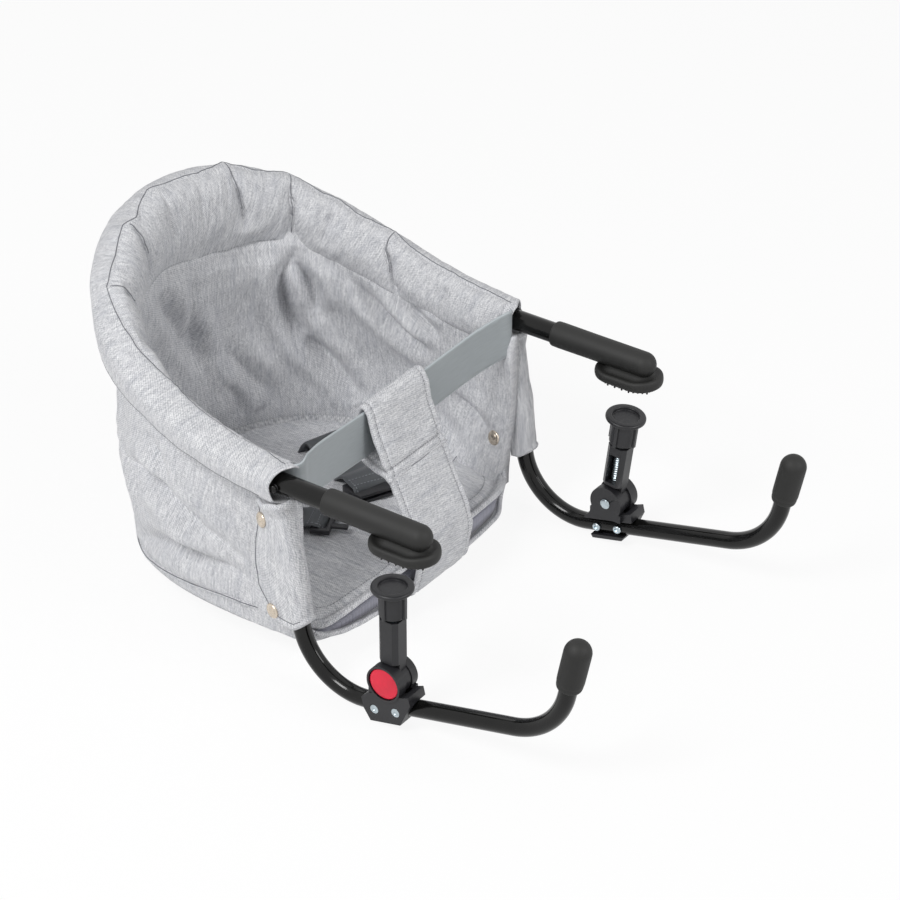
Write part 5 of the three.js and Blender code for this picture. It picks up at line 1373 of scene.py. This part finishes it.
def lay_flat(piece):
    """Lays the cloth's weave on the piece as seen from above."""
    mesh = piece.data
    corners = np.array([loop.vertex_index for loop in mesh.loops])
    places = np.array([v.co[:2] for v in mesh.vertices], dtype=np.float32)[corners]
    mesh.uv_layers["cloth"].data.foreach_set("uv", places.ravel())
    return piece


# The ridge and lip points carry dark lines of painted crease shade; the hem point carries the stitches.
RIDGE_POINT, LIP_POINT, HEM_POINT = 2, 29, 38  # points of the collar's and the band's sections that are sewn


class CHAIR_OT_bucket(bpy.types.Operator):
    """Padded rim collar, inner band and wall of the bucket"""
    bl_idname = "chair.bucket"
    bl_label = "Bucket"

    def execute(self, context):
        loft, rings = rim_collar()
        padded_piece(Shape().loft(loft), "rim_collar", 0.6, "rim_sleeve")
        band_rings, slits = rim_band()
        padded_piece(Shape().loft(band_rings), "inner_rim_band", 0.7, "inner_band")
        outer, inner = Wall().faces()
        shell = Shape().sheet(outer).sheet(inner[:, ::-1])
        for k in (0, -1):
            shell.sheet(np.stack([outer[k], inner[k]], 1))
        for k in (0, -1):
            shell.sheet(np.stack([outer[:, k], inner[:, k]], 1))
        padded_piece(shell, "bucket_wall", 0.3, "seat_wall")
        ridge = rings[4:-4, RIDGE_POINT] + np.array([0, 0, 0.2])
        hem = band_rings[6:-6, HEM_POINT]
        lip = rings[14:-14, LIP_POINT]
        sew("bucket_stitches", [hem], "seat")
        # Painted shade: dark lines along the top seam, the collar's lower lip and the pinch slits, for the
        # shadow in their creases.
        paint_crease_shade("bucket_seams", [ridge, lip, *slits], "seat")
        return {"FINISHED"}


# Rows of the pocket: (share of the outline, height)
POCKET_ROWS = [(0.01, -141.8), (0.9, -141.8), (0.985, -141.6), (1, -141.4), (1, -140), (0.985, -138.6),
               (0.9, -138.4), (0.01, -138.4)]
# Rows of the base's lip: (share of the outline, share of the lip's height)
LIP_ROWS = [(0.945, 0.02), (0.957, 0.07), (0.968, 0.25), (0.979, 0.5), (0.987, 0.75), (0.989, 0.9),
            (0.985, 0.98), (0.975, 1.0), (0.965, 0.9), (0.96, 0.8)]
PIPING_R, POCKET_OFFSET, POCKET_LIFT, POCKET_SAG, BASE_OFFSET, NEAR_CORNER_IN = 2.1, -9, 8.5, 2.5, 7, 4.5
# How far the front corner on the child's left is drawn in and back
POCKET_CORNER, BASE_CORNER, CUSHION_CORNER = (14, 6), (16, 8), (10, 4)
BINDING_ROW, STITCH_ROW, FAR_SIDE_DROP = 6, 12, 6  # rows of the cushion, and its fall along the far wall


class CHAIR_OT_seat(bpy.types.Operator):
    """Seat base with its piping and pocket, and the padded seat"""
    bl_idname = "chair.seat"
    bl_label = "Seat"

    def execute(self, context):
        self.base()
        inside = far_corner(seat_outline(POCKET_OFFSET), *POCKET_CORNER)
        pocket = np.array([seat_ring(inside, *row) for row in POCKET_ROWS])
        pocket[4:, :, 2] += POCKET_LIFT * pocket_open(pocket[4:])
        pocket[:4, :, 2] -= POCKET_SAG * pocket_open(pocket[:4])
        board = Shape().loft(pocket).object("pocket_lining", "lining")
        place_piece(lay_flat(board), "seat", "board", "seat_board")
        cushion = self.cushion()
        place_piece(cushion, "seat", "melange", "seat_cushion")
        return {"FINISHED"}

    def base(self):
        edge = far_corner(seat_outline(BASE_OFFSET), *BASE_CORNER)
        near = smoothstep(110, 155, -edge[:, 0]) * (1 - smoothstep(132, 175, edge[:, 1]))
        edge[:, 0] += NEAR_CORNER_IN * near
        back = smoothstep(285, 345, edge[:, 1])
        edge = edge - np.stack([0.028 * edge[:, 0], 4 + 0 * back], -1) * back[:, None]
        front = 1 - smoothstep(90, 108, edge[:, 1])
        mid = table(np.abs(edge[:, 0]), (0, -146.5), (90, -145.5), (130, -142), (152, -137))
        lip_top = piping_height(edge[:, 1]) * (1 - front) + mid * front
        lip_top = lip_top + 0.7 * ripple(np.stack([*edge.T, 0 * front], -1), 16, 2.0)
        foot = SEAT_Z - 5 + 2.5 * front
        rows = [seat_ring(edge, s, SEAT_Z - 2) for s in (0.01, 0.4, 0.8, 0.91)]
        rows += [seat_ring(edge, s, foot + rise * (lip_top - foot)) for s, rise in LIP_ROWS]
        rows += [seat_ring(edge, s, BASE_TOP_Z) for s in (0.95, 0.8, 0.4, 0.01)]
        rows = np.array(rows)
        rows[-4:, :, 2] -= 4.5 * pocket_open(rows[-4:])
        padded_piece(Shape().loft(rows), "base_panel", 0.4, "seat_base")
        line = np.stack([edge[:, 0], edge[:, 1] + 0.3 * front, lip_top], -1)
        padded_piece(Shape().sheet(bead(line, PIPING_R), wrap=True), "base_piping", 0.9)
        # A dark line of painted shade along the top of the piping, for the shadowed gap between piping and
        # wall.
        behind = edge[:, 1] > np.where(edge[:, 0] > 0, 160, 96)
        inner = seat_ring(edge, 1.012, lip_top + 1.3)[behind]
        start = int(np.argmax(np.linalg.norm(np.diff(inner, axis=0), axis=1))) + 1
        paint_crease_shade("base_seam", [np.roll(inner, -start, 0)], "seat")

    def cushion(self):
        outline = far_corner(seat_outline(CUSHION_OFFSET), *CUSHION_CORNER)
        rows = [(s, CUSHION_Z) for s in (0.01, 0.5, 0.8, 0.9, 0.955)]
        rows += [(0.985, -136), (1.0, -131.5), (0.998, -128), (0.985, -124.8)]
        rows += [(s, float(cushion_top(s)) + 1) for s in np.linspace(0.965, 0.01, 46)]
        rings = np.array([seat_ring(outline, s, z) for s, z in rows])
        lifted = pocket_open(rings)
        under = np.arange(len(rows))[:, None] <= BINDING_ROW
        rings[..., 2] += np.where(under, 10, 6) * lifted
        top = np.array([smoothstep(0, 4, i - BINDING_ROW - 1) for i in range(len(rows))])[:, None]
        soft = ripples(rings, (2.0, 42, 4.4), (1.1, 17, 7.7), (0.4, 8, 2.9))
        rings[..., 2] += soft * top
        far_side = smoothstep(100, 150, rings[..., 0]) * (1 - smoothstep(150, 230, rings[..., 1]))
        rings[..., 2] -= FAR_SIDE_DROP * top * far_side
        front = 1 - smoothstep(92, 116, outline[:, 1])
        seam = rings[STITCH_ROW] + np.array([0, 0, 0.3])
        sew("seat_edge_stitches", [seam[front > 0.5]], "seat")
        line = rings[BINDING_ROW] + np.array([0, -0.2, 1.2])
        padded_piece(Shape().sheet(bead(line, 1.0 + 1.4 * front), wrap=True), "seat_binding", 0.9)
        return lay_flat(Shape().loft(rings).object("seat_pad", "melange"))


# Flaps, straps and fastenings

def slab(surface, thickness, normal):
    """A closed sheet: both faces of a lattice surface with an eased edge."""
    upper, lower = surface + normal * thickness[..., None] / 2, surface - normal * thickness[..., None] / 2
    shape = Shape().sheet(upper).sheet(lower[:, ::-1])
    for k in (0, -1):
        shape.sheet(np.stack([upper[k], surface[k], lower[k]], 1))
        shape.sheet(np.stack([upper[:, k], surface[:, k], lower[:, k]], 1))
    return shape


def surface_normals(surface):
    down = np.gradient(surface, axis=0)
    across = np.gradient(surface, axis=1)
    return unit(np.cross(down, across))


def edge_shares(shape, profile):
    """Thickness shares of a lattice that follow the profile inwards from its border."""
    share = np.ones(shape)
    for k, value in reversed(list(enumerate(profile))):
        share[k], share[-1 - k] = value, value
        share[:, k], share[:, -1 - k] = value, value
    return share


FLAP_THICKNESS, WEBBING_THICKNESS, BELT_THICKNESS = 2.0, 1.9, 2.2
# Shares of the thickness inwards from the border, of a cut edge and of one that is bound and stitched
THIN_EDGE = (0.6,)
BOUND_EDGE = (0.9, 1.9, 2.3, 2.0, 0.8, 0.75, 0.9)


# Reach of the flap's free edge behind the tube, by the drop below the pivot
FLAP_EDGE = [(12, 25), (33, 29), (60, 38), (90, 43), (FLAP_BOTTOM_DROP, 43)]


def flap_line(count):
    """Section of the flap round the tube: across and along from the tube's middle."""
    inner, outer = -LEG_R - 1.2, LEG_R + 1.2
    turn = np.linspace(0, math.pi, 40)
    bow = np.stack([outer * -np.cos(turn), -FLAP_LEAD + outer - outer * np.sin(turn)], -1)
    y = np.linspace(-FLAP_LEAD + outer, FLAP_REACH, 40)[1:]
    leaf = np.stack([outer - FLAP_TAPER * smoothstep(0.35, 1, np.maximum(0, y) / FLAP_REACH), y], -1)
    return even(np.concatenate([[[inner, FLAP_INNER_REACH]], bow, leaf]), count)


def flap_surface():
    section = flap_line(71)
    x, y = section[:, :1], section[:, 1:]
    leaf = x > 0
    behind = np.maximum(0, y) / FLAP_REACH * leaf
    top = -FLAP_COVER_DROP - 5 * behind
    foot = -FLAP_BOTTOM_DROP + FLAP_HEM_ROUND * behind ** 2.4 + 0.6 * np.maximum(0, -y)
    high = top + (foot - top) * np.linspace(0, 1, 81)
    lead = 1 - 0.2 * smoothstep(-95, -45, high)
    deep = np.where(leaf & (y > 0), y * table(-high, *FLAP_EDGE) / FLAP_REACH, np.where(y < 0, y * lead, y))
    flat = np.stack(np.broadcast_arrays(deep, high, x), -1)
    free = 1 - sum(bell(np.hypot(deep - SNAP_REACH, high + drop), 11) for drop in SNAP_DROPS.values())
    soft = ripples(flat, (2.4, 34, 3.3), (1.2, 14, 5.1)) * leaf * np.clip(free, 0, 1)
    flare = 1 + np.where(leaf, 0.62, 0.1) * smoothstep(-31, -19, high)
    return np.stack([x * flare + soft, deep, high], -1)


SNAP_PROFILE = [(0, -0.6), (6.6, -0.6), (7.1, 0.1, 0.3), (7.25, 0.8, 0.4), (6.7, 1.8, 0.5), (5.6, 2.2, 0.5),
                (5, 1.8, 0.4), (4.2, 2.4, 0.8), (2.4, 3.0, 1), (0, 3.2)]
OUTER_LEAF = 35  # first point of the flap's section on its outer leaf


def snap_rings(place, axis):
    return turned(rounded(SNAP_PROFILE), place, axis, 40)


class CHAIR_OT_flaps(bpy.types.Operator):
    """Flaps round the lower tubes, and the snaps"""
    bl_idname = "chair.flaps"
    bl_label = "Flaps and snaps"

    def execute(self, context):
        flat = flap_surface()
        surface = on_leg(flat)
        thick = FLAP_THICKNESS * edge_shares(surface.shape[:2], BOUND_EDGE)
        normals = surface_normals(surface)
        normals = normals * np.sign(normals[60, 40, 0])
        face = surface + normals * (thick / 2 + 0.1)[..., None]
        for side in SIDES:
            shape = slab(to_side(surface, side), thick, normals * np.array([SIDES[side], 1, 1]))
            flap = shape.object(f"{side}_flap", "melange")
            place_piece(flap, f"{side}_leg", "melange", f"{side}_leg_flap")
            # Painted shade: dark lines along the inner edge of the bound hem, for the crease's shadow between
            # binding and flap.
            lines = [to_side(line, side) for line in (face[30:-4, -5], face[-5, 3:-4])]
            paint_crease_shade(f"{side}_flap_seam", lines, f"{side}_leg")
            for name, drop in SNAP_DROPS.items():
                off = np.linalg.norm(flat[OUTER_LEAF:, :, 1:] - (SNAP_REACH, -drop), axis=2)
                i, j = np.unravel_index(np.argmin(off), off.shape)
                rings = to_side(snap_rings(face[OUTER_LEAF + i, j], normals[OUTER_LEAF + i, j]), side)
                ring_piece(f"{side}_{name}_snap", rings, "nickel", 50, f"{side}_leg",
                           f"{side}_{name}_flap_snap")
        self.seat_snaps()
        return {"FINISHED"}

    def seat_snaps(self):
        """Snaps on the inside of the wall and on the front of the seat."""
        lining = Wall().faces()[1]
        facing = surface_normals(lining)
        for side in SIDES:
            off = np.abs(lining - (SIDES[side] * WALL_HALF, WALL_SNAP_Y, WALL_SNAP_Z)) * (0.2, 1, 1)
            i, j = np.unravel_index(np.argmin(off.sum(2)), off.shape[:2])
            inward = facing[i - 4:i + 5, j - 4:j + 5].mean((0, 1))
            rings = snap_rings(lining[i, j], -SIDES[side] * inward * np.sign(inward[0]))
            ring_piece(f"{side}_inside_snap", rings, "nickel", 50, "seat", f"{side}_wall_snap")
            rings = to_side(snap_rings((SEAT_SNAP_X, SEAT_SNAP_Y, SEAT_SNAP_Z), (0, -0.1, 1)), side)
            ring_piece(f"{side}_front_snap", rings, "nickel", 50, "seat", f"{side}_seat_snap")


WEBBING_TOP_Z, WEBBING_SAG = 42, 18.5


def webbing_surface():
    """The webbing out of one sleeve mouth, across the front and into the other."""
    half = [(0, 126), (60, 124), (110, 118.5), (140, 110.5), (152, 105.3), (158, 107), (163, 113), (166, 126)]
    line = curved([(-x, y) for x, y in half[:0:-1]] + half, 201)
    x, y = line[:, :1], line[:, 1:]
    hang = 1 - np.clip(np.abs(x) / 152.2, 0, 1) ** 2
    inside = smoothstep(150, 159, np.abs(x))
    top = WEBBING_TOP_Z - WEBBING_SAG * hang - 3.5 * inside
    high = top - WEBBING_WIDTH * (1 - 0.38 * inside) * np.linspace(0, 1, 15)
    return np.stack(np.broadcast_arrays(x, y, high), -1)


# Middle line of the strap, from its free end over the webbing and down under the seat: y and z
CROTCH_LINE = [(97.5, -39), (104, -34), (115, -31), (126, -26), (131.5, -14), (132.6, 3), (131.5, 21),
               (126.2, 29), (120.2, 22.5), (116.4, 9), (112.5, -3), (106, -18), (99.5, -33), (86.5, -63),
               (73.5, -91), (69, -109), (70.5, -127), (73, -141), (77, -149.4), (86, -151.6), (104, -150.2)]
CROTCH_SEAM_Z, CROTCH_BORDER, CROTCH_PLEAT = -29, 0.84, 7


def crotch_surface():
    line = curved(CROTCH_LINE, 241)
    u = np.linspace(-1, 1, 61)
    run = np.linspace(0, 1, len(line))
    seam = 70 + int(np.argmin(np.abs(line[70:150, 1] - CROTCH_SEAM_Z)))
    width = CROTCH_WIDTH * (1 + 0.03 * (run < run[seam]) - 0.05 * bell(run - run[seam], 0.012))
    x = width[:, None] / 2 * u
    grid = np.stack(np.broadcast_arrays(x, line[:, :1], line[:, 1:]), -1)
    border = smoothstep(0.8, 1, np.abs(u))
    soft = ripples(grid, (1.3, 26, 9.2), (0.5, 11, 4.6))
    soft = soft + 1.5 * border * ripple(grid * (0.4, 1, 1), 9, 6.2)
    soft = soft - 1.2 * bell(run - run[seam], 0.008)[:, None]
    soft = soft - 1.6 * bell(run - run[seam + CROTCH_PLEAT], 0.006)[:, None]
    return grid + surface_normals(grid) * soft[..., None], seam


SLIDER_SHARE = 0.72  # place of the slide along its belt
# Half the width of the buckle, its length, height, cut corners and rounded edges
BUCKLE_HALF, BUCKLE_LENGTH, BUCKLE_HEIGHT, BUCKLE_CORNER, BUCKLE_ROUND = 22, 26, 9, 5, 1.2
BELT_ENDS = np.array([[78, 300], [62.4, 243], [36, 186]], float)


def belt_height(plan):
    across = np.abs(plan[..., 0]) / (WALL_HALF + CUSHION_OFFSET)
    along = np.abs(plan[..., 1] - SEAT_MIDDLE_Y) / (SEAT_MIDDLE_Y - SEAT_FRONT_Y)
    return cushion_top(np.maximum(across, along) * 0.8) + 2.8


def belt_plan(u):
    u = np.asarray(u, float)[..., None]
    return (1 - u) ** 2 * BELT_ENDS[0] + 2 * u * (1 - u) * BELT_ENDS[1] + u * u * BELT_ENDS[2]


def on_belt(rings, share):
    """Rings made at the origin, with their front along -Y, at a share of the left belt's run."""
    place = belt_plan(share)
    ahead = unit(belt_plan(share + 0.01) - belt_plan(share - 0.01))
    turn = math.atan2(ahead[0], -ahead[1])
    return spun(rings, turn) + (*place, belt_height(place) - 1.5)


def belt_line(side):
    """Middle line of a belt half, from the back of the seat over its buckle's bar, its end folded down."""
    u = np.linspace(0, 1, 90)
    plan = belt_plan(u)
    line = np.concatenate([plan, belt_height(plan)[:, None]], 1)
    if side == "left":
        sunk = 15 * (1 - smoothstep(0.2, 0.34, u))
        line[:, 2] += 15 * bell(u - 0.42, 0.1) + 10.5 * smoothstep(0.78, 0.95, u) - sunk
        steps = [(5, 0), (10, 0), (13, -0.6), (15, -2.5), (15.8, -5.5), (16, -10)]
    else:
        sunk = 12 * (1 - smoothstep(0.12, 0.26, u))
        line[:, 2] += 3 * bell(u - SLIDER_SHARE, 0.05) + 6.5 * smoothstep(0.88, 1, u) - sunk
        steps = [(4, 0), (7, -0.4), (10, -2.6), (12, -5.5)]
    ahead = unit(plan[-1] - plan[-2])
    tail = [(*(plan[-1] + ahead * run), line[-1, 2] + rise) for run, rise in steps]
    return to_side(curved(np.concatenate([line[::6], line[-1:], tail]), 120), side)


class CHAIR_OT_straps(bpy.types.Operator):
    """Front webbing, crotch strap, lap belt and its buckle"""
    bl_idname = "chair.straps"
    bl_label = "Straps"

    def execute(self, context):
        surface = webbing_surface()
        thick = WEBBING_THICKNESS * edge_shares(surface.shape[:2], THIN_EDGE)
        shape = slab(surface, thick, surface_normals(surface))
        web = place_piece(shape.object("webbing_band", "webbing"), "seat", "webbing", "front_webbing")
        self.crotch()
        for side in SIDES:
            self.belt(side)
        self.buckles()
        return {"FINISHED"}

    def crotch(self):
        surface, seam = crotch_surface()
        u = np.abs(np.linspace(-1, 1, surface.shape[1]))
        quilt = 1.45 - 0.75 * bell((u - CROTCH_BORDER) * CROTCH_WIDTH / 2, 1.7)
        quilt = quilt - 0.25 * smoothstep(CROTCH_BORDER, 0.9, u) - 0.75 * smoothstep(0.95, 1, u)
        thick = CROTCH_THICKNESS * quilt * np.ones(surface.shape[:2])
        thick[seam - 1:seam + 2] *= 0.7
        normals = surface_normals(surface)
        normals = normals * np.sign(-normals[seam + 20, 30, 1])
        padded_piece(slab(surface, thick, normals), "strap_pad", 0.4, "crotch_strap")
        face = surface + normals * (thick / 2 + 0.2)[..., None]
        edge = int(round((1 - CROTCH_BORDER) / 2 * (surface.shape[1] - 1)))
        sew("strap_stitches", [face[60:, edge], face[60:, -1 - edge], face[seam, 3:-3]], "seat")
        # Painted shade: a dark line along the pleat below the stitched seam, for its crease's shadow.
        paint_crease_shade("strap_seam", [face[seam + CROTCH_PLEAT, 1:-1]], "seat")

    def belt(self, side):
        line = belt_line(side)
        ahead = unit(np.gradient(line, axis=0))
        level = unit(np.cross((0, 0, 1), ahead[20]))
        across = unit(np.cross(np.cross(ahead, level), ahead) * -1)
        across = across * np.sign((across @ level))[:, None]
        surface = line[:, None] + BELT_WIDTH * np.linspace(-0.5, 0.5, 13)[None, :, None] * across[:, None]
        normals = surface_normals(surface)
        normals = normals * np.sign(normals[20, 6, 2])
        shape = slab(surface, BELT_THICKNESS * edge_shares(surface.shape[:2], THIN_EDGE), normals)
        made = place_piece(shape.object(f"{side}_belt", "belt"), "seat", "belt", f"{side}_lap_belt")
        face = surface + 1.25 * normals
        lines = [face[-16, 1:-1], face[-9, 1:-1], face[-16:-3, 1], face[-16:-3, -2]]
        sew(f"{side}_belt_stitches", lines, "seat", "belt")

    def buckles(self):
        w, l, t, c = BUCKLE_HALF, BUCKLE_LENGTH, BUCKLE_HEIGHT, BUCKLE_CORNER
        outline = [(-w + c, -l), (w - c, -l), (w, -l / 2), (w, 0), (-w, 0), (-w, -l / 2)]
        body = np.array([[(x, y, z) for x, y in outline] for z in (0, t)], float)
        socket = solid(Shape().loft(on_belt(body, 1)))
        combine(socket, "DIFFERENCE", on_belt(block(6 - w, w - 6, -40, -9, 3, 6), 1),
                on_belt(block(3 - w, w - 3, -5.5, -2.5, -1, 6), 1))
        tongue = solid(Shape().loft(on_belt(block(-w, w, -17, 1, 1.5, 6.5), 1)))
        combine(tongue, "UNION", on_belt(block(9 - w, 15 - w, -32, -16, 3.2, 5.8), 1),
                on_belt(block(w - 15, w - 9, -32, -16, 3.2, 5.8), 1))
        combine(tongue, "DIFFERENCE", on_belt(block(4.5 - w, w - 4.5, -13.5, -9, -2, 12), 1),
                on_belt(block(4.5 - w, w - 4.5, -6, -1.5, -2, 12), 1))
        slide = solid(Shape().loft(on_belt(block(-24, 24, -15, 15, 2, 6), SLIDER_SHARE)))
        combine(slide, "DIFFERENCE", on_belt(block(-19, 19, -10, -2.5, -2, 12), SLIDER_SHARE),
                on_belt(block(-19, 19, 2.5, 10, -2, 12), SLIDER_SHARE))
        for piece, name, side, node in ((socket, "buckle_half", "left", "left_buckle_socket"),
                                        (tongue, "tongue_half", "right", "right_buckle_tongue"),
                                        (slide, "belt_slide", "right", "right_belt_slider")):
            piece.name = name
            eased = ease_edges(piece, BUCKLE_ROUND * MM, 38, 3)
            place_piece(mirror_piece(eased, side), "seat", "plastic", node)


# Studio

BACKGROUND_GLOW, SKY_LIGHT, FLOOR_REACH = 0.9, 0.31, 6.0
LAMPS = [  # name, place and size in metres, watts
    ("key", (-2.1, 0.4, 2.3), (1.1, 1.1), 59),
    ("fill", (0.3, -2.3, 1.5), (1.2, 1.2), 26),
    ("back", (0.3, 2.2, 1.8), (1.6, 1.2), 3),
]
LAMP_AIM = (0, 0.15, -0.05)
CAMERA_PLACE, CAMERA_LENS, CAMERA_SENSOR = (-1.99463, -1.35794, 1.534), 132, 36
CAMERA_TURN = (math.radians(57.72), 0, math.radians(-54.54))


class CHAIR_OT_studio(bpy.types.Operator):
    """Pale floor, soft light and the camera"""
    bl_idname = "chair.studio"
    bl_label = "Studio"

    def execute(self, context):
        scene = context.scene
        scene.view_settings.view_transform = "Standard"
        self.floor()
        self.sky(scene)
        for lamp in LAMPS:
            self.lamp(*lamp)
        lens = bpy.data.cameras.new("camera")
        lens.lens, lens.sensor_width = CAMERA_LENS, CAMERA_SENSOR
        camera = bpy.data.objects.new("camera", lens)
        camera.location = CAMERA_PLACE
        camera.rotation_euler = CAMERA_TURN
        scene.collection.objects.link(camera)
        scene.camera = camera
        return {"FINISHED"}

    def floor(self):
        reach, low = FLOOR_REACH, FLOOR_Z * MM
        mesh = bpy.data.meshes.new("floor")
        corners = ((-reach, -reach), (reach, -reach), (reach, reach), (-reach, reach))
        mesh.from_pydata([(x, y, low) for x, y in corners], [], [(0, 1, 2, 3)])
        made = link_object("floor", mesh)
        f = Finish("studio_floor", 0.9)
        shade = tuple(colours().floor)
        f.finish(f.ramp(f.noise(f.object_place(), 3, 2), (0.3, dim(shade, 0.985)), (0.7, shade)),
                 Specular_IOR_Level=0)
        seen = f.seen_rays()
        glow = f.node("ShaderNodeEmission", {"Strength": 1.0})
        both = f.node("ShaderNodeMixShader", {0: f.math("MULTIPLY", seen, BACKGROUND_GLOW)})
        f.tree.links.new(f.shader.outputs[0], both.inputs[1])
        f.tree.links.new(glow.outputs[0], both.inputs[2])
        f.tree.links.new(both.outputs[0], f.tree.nodes["Material Output"].inputs["Surface"])
        mesh.materials.append(f.material)

    def sky(self, scene):
        world = bpy.data.worlds.new("studio")
        world.use_nodes = True
        nodes, link = world.node_tree.nodes, world.node_tree.links.new
        scene.world = world
        strength = nodes.new("ShaderNodeMapRange")
        strength.inputs["To Min"].default_value = SKY_LIGHT
        strength.inputs["To Max"].default_value = 1.0
        link(Graph(world.node_tree).seen_rays(), strength.inputs["Value"])
        link(strength.outputs[0], nodes["Background"].inputs["Strength"])
        nodes["Background"].inputs["Color"].default_value = (1, 1, 1, 1)

    def lamp(self, name, place, size, watts):
        light = bpy.data.lights.new(name, "AREA")
        light.shape, light.size, light.size_y, light.energy = "RECTANGLE", *size, watts
        made = link_object(name, light)
        made.location = place
        made.rotation_euler = (Vector(LAMP_AIM) - Vector(place)).to_track_quat("-Z", "Y").to_euler()


OPERATORS = (CHAIR_OT_studio, CHAIR_OT_tubes, CHAIR_OT_grips, CHAIR_OT_clamps, CHAIR_OT_bucket, CHAIR_OT_seat,
             CHAIR_OT_flaps, CHAIR_OT_straps)


class CHAIR_PT_panel(bpy.types.Panel):
    """Buttons that build the chair, and its colours and sizes"""
    bl_idname = "CHAIR_PT_panel"
    bl_label = "Table chair"
    bl_space_type = "VIEW_3D"
    bl_region_type = "UI"
    bl_category = "Table chair"

    def draw(self, context):
        for operator in OPERATORS:
            self.layout.operator(operator.bl_idname)
        for group in (context.scene.chair_colours, context.scene.chair_sizes):
            column = self.layout.column()
            for key in group.bl_rna.properties.keys():
                if key not in ("rna_type", "name"):
                    column.prop(group, key)


CLASSES = (ChairColours, ChairSizes, *OPERATORS, CHAIR_PT_panel)


def register():
    for cls in CLASSES:
        bpy.utils.register_class(cls)
    bpy.types.Scene.chair_colours = bpy.props.PointerProperty(type=ChairColours)
    bpy.types.Scene.chair_sizes = bpy.props.PointerProperty(type=ChairSizes)


def unregister():
    del bpy.types.Scene.chair_sizes
    del bpy.types.Scene.chair_colours
    for cls in reversed(CLASSES):
        bpy.utils.unregister_class(cls)


def main():
    register()
    make_finishes()
    for operator in OPERATORS:
        group, name = operator.bl_idname.split(".")
        getattr(getattr(bpy.ops, group), name)()


if __name__ == "__main__":
    main()
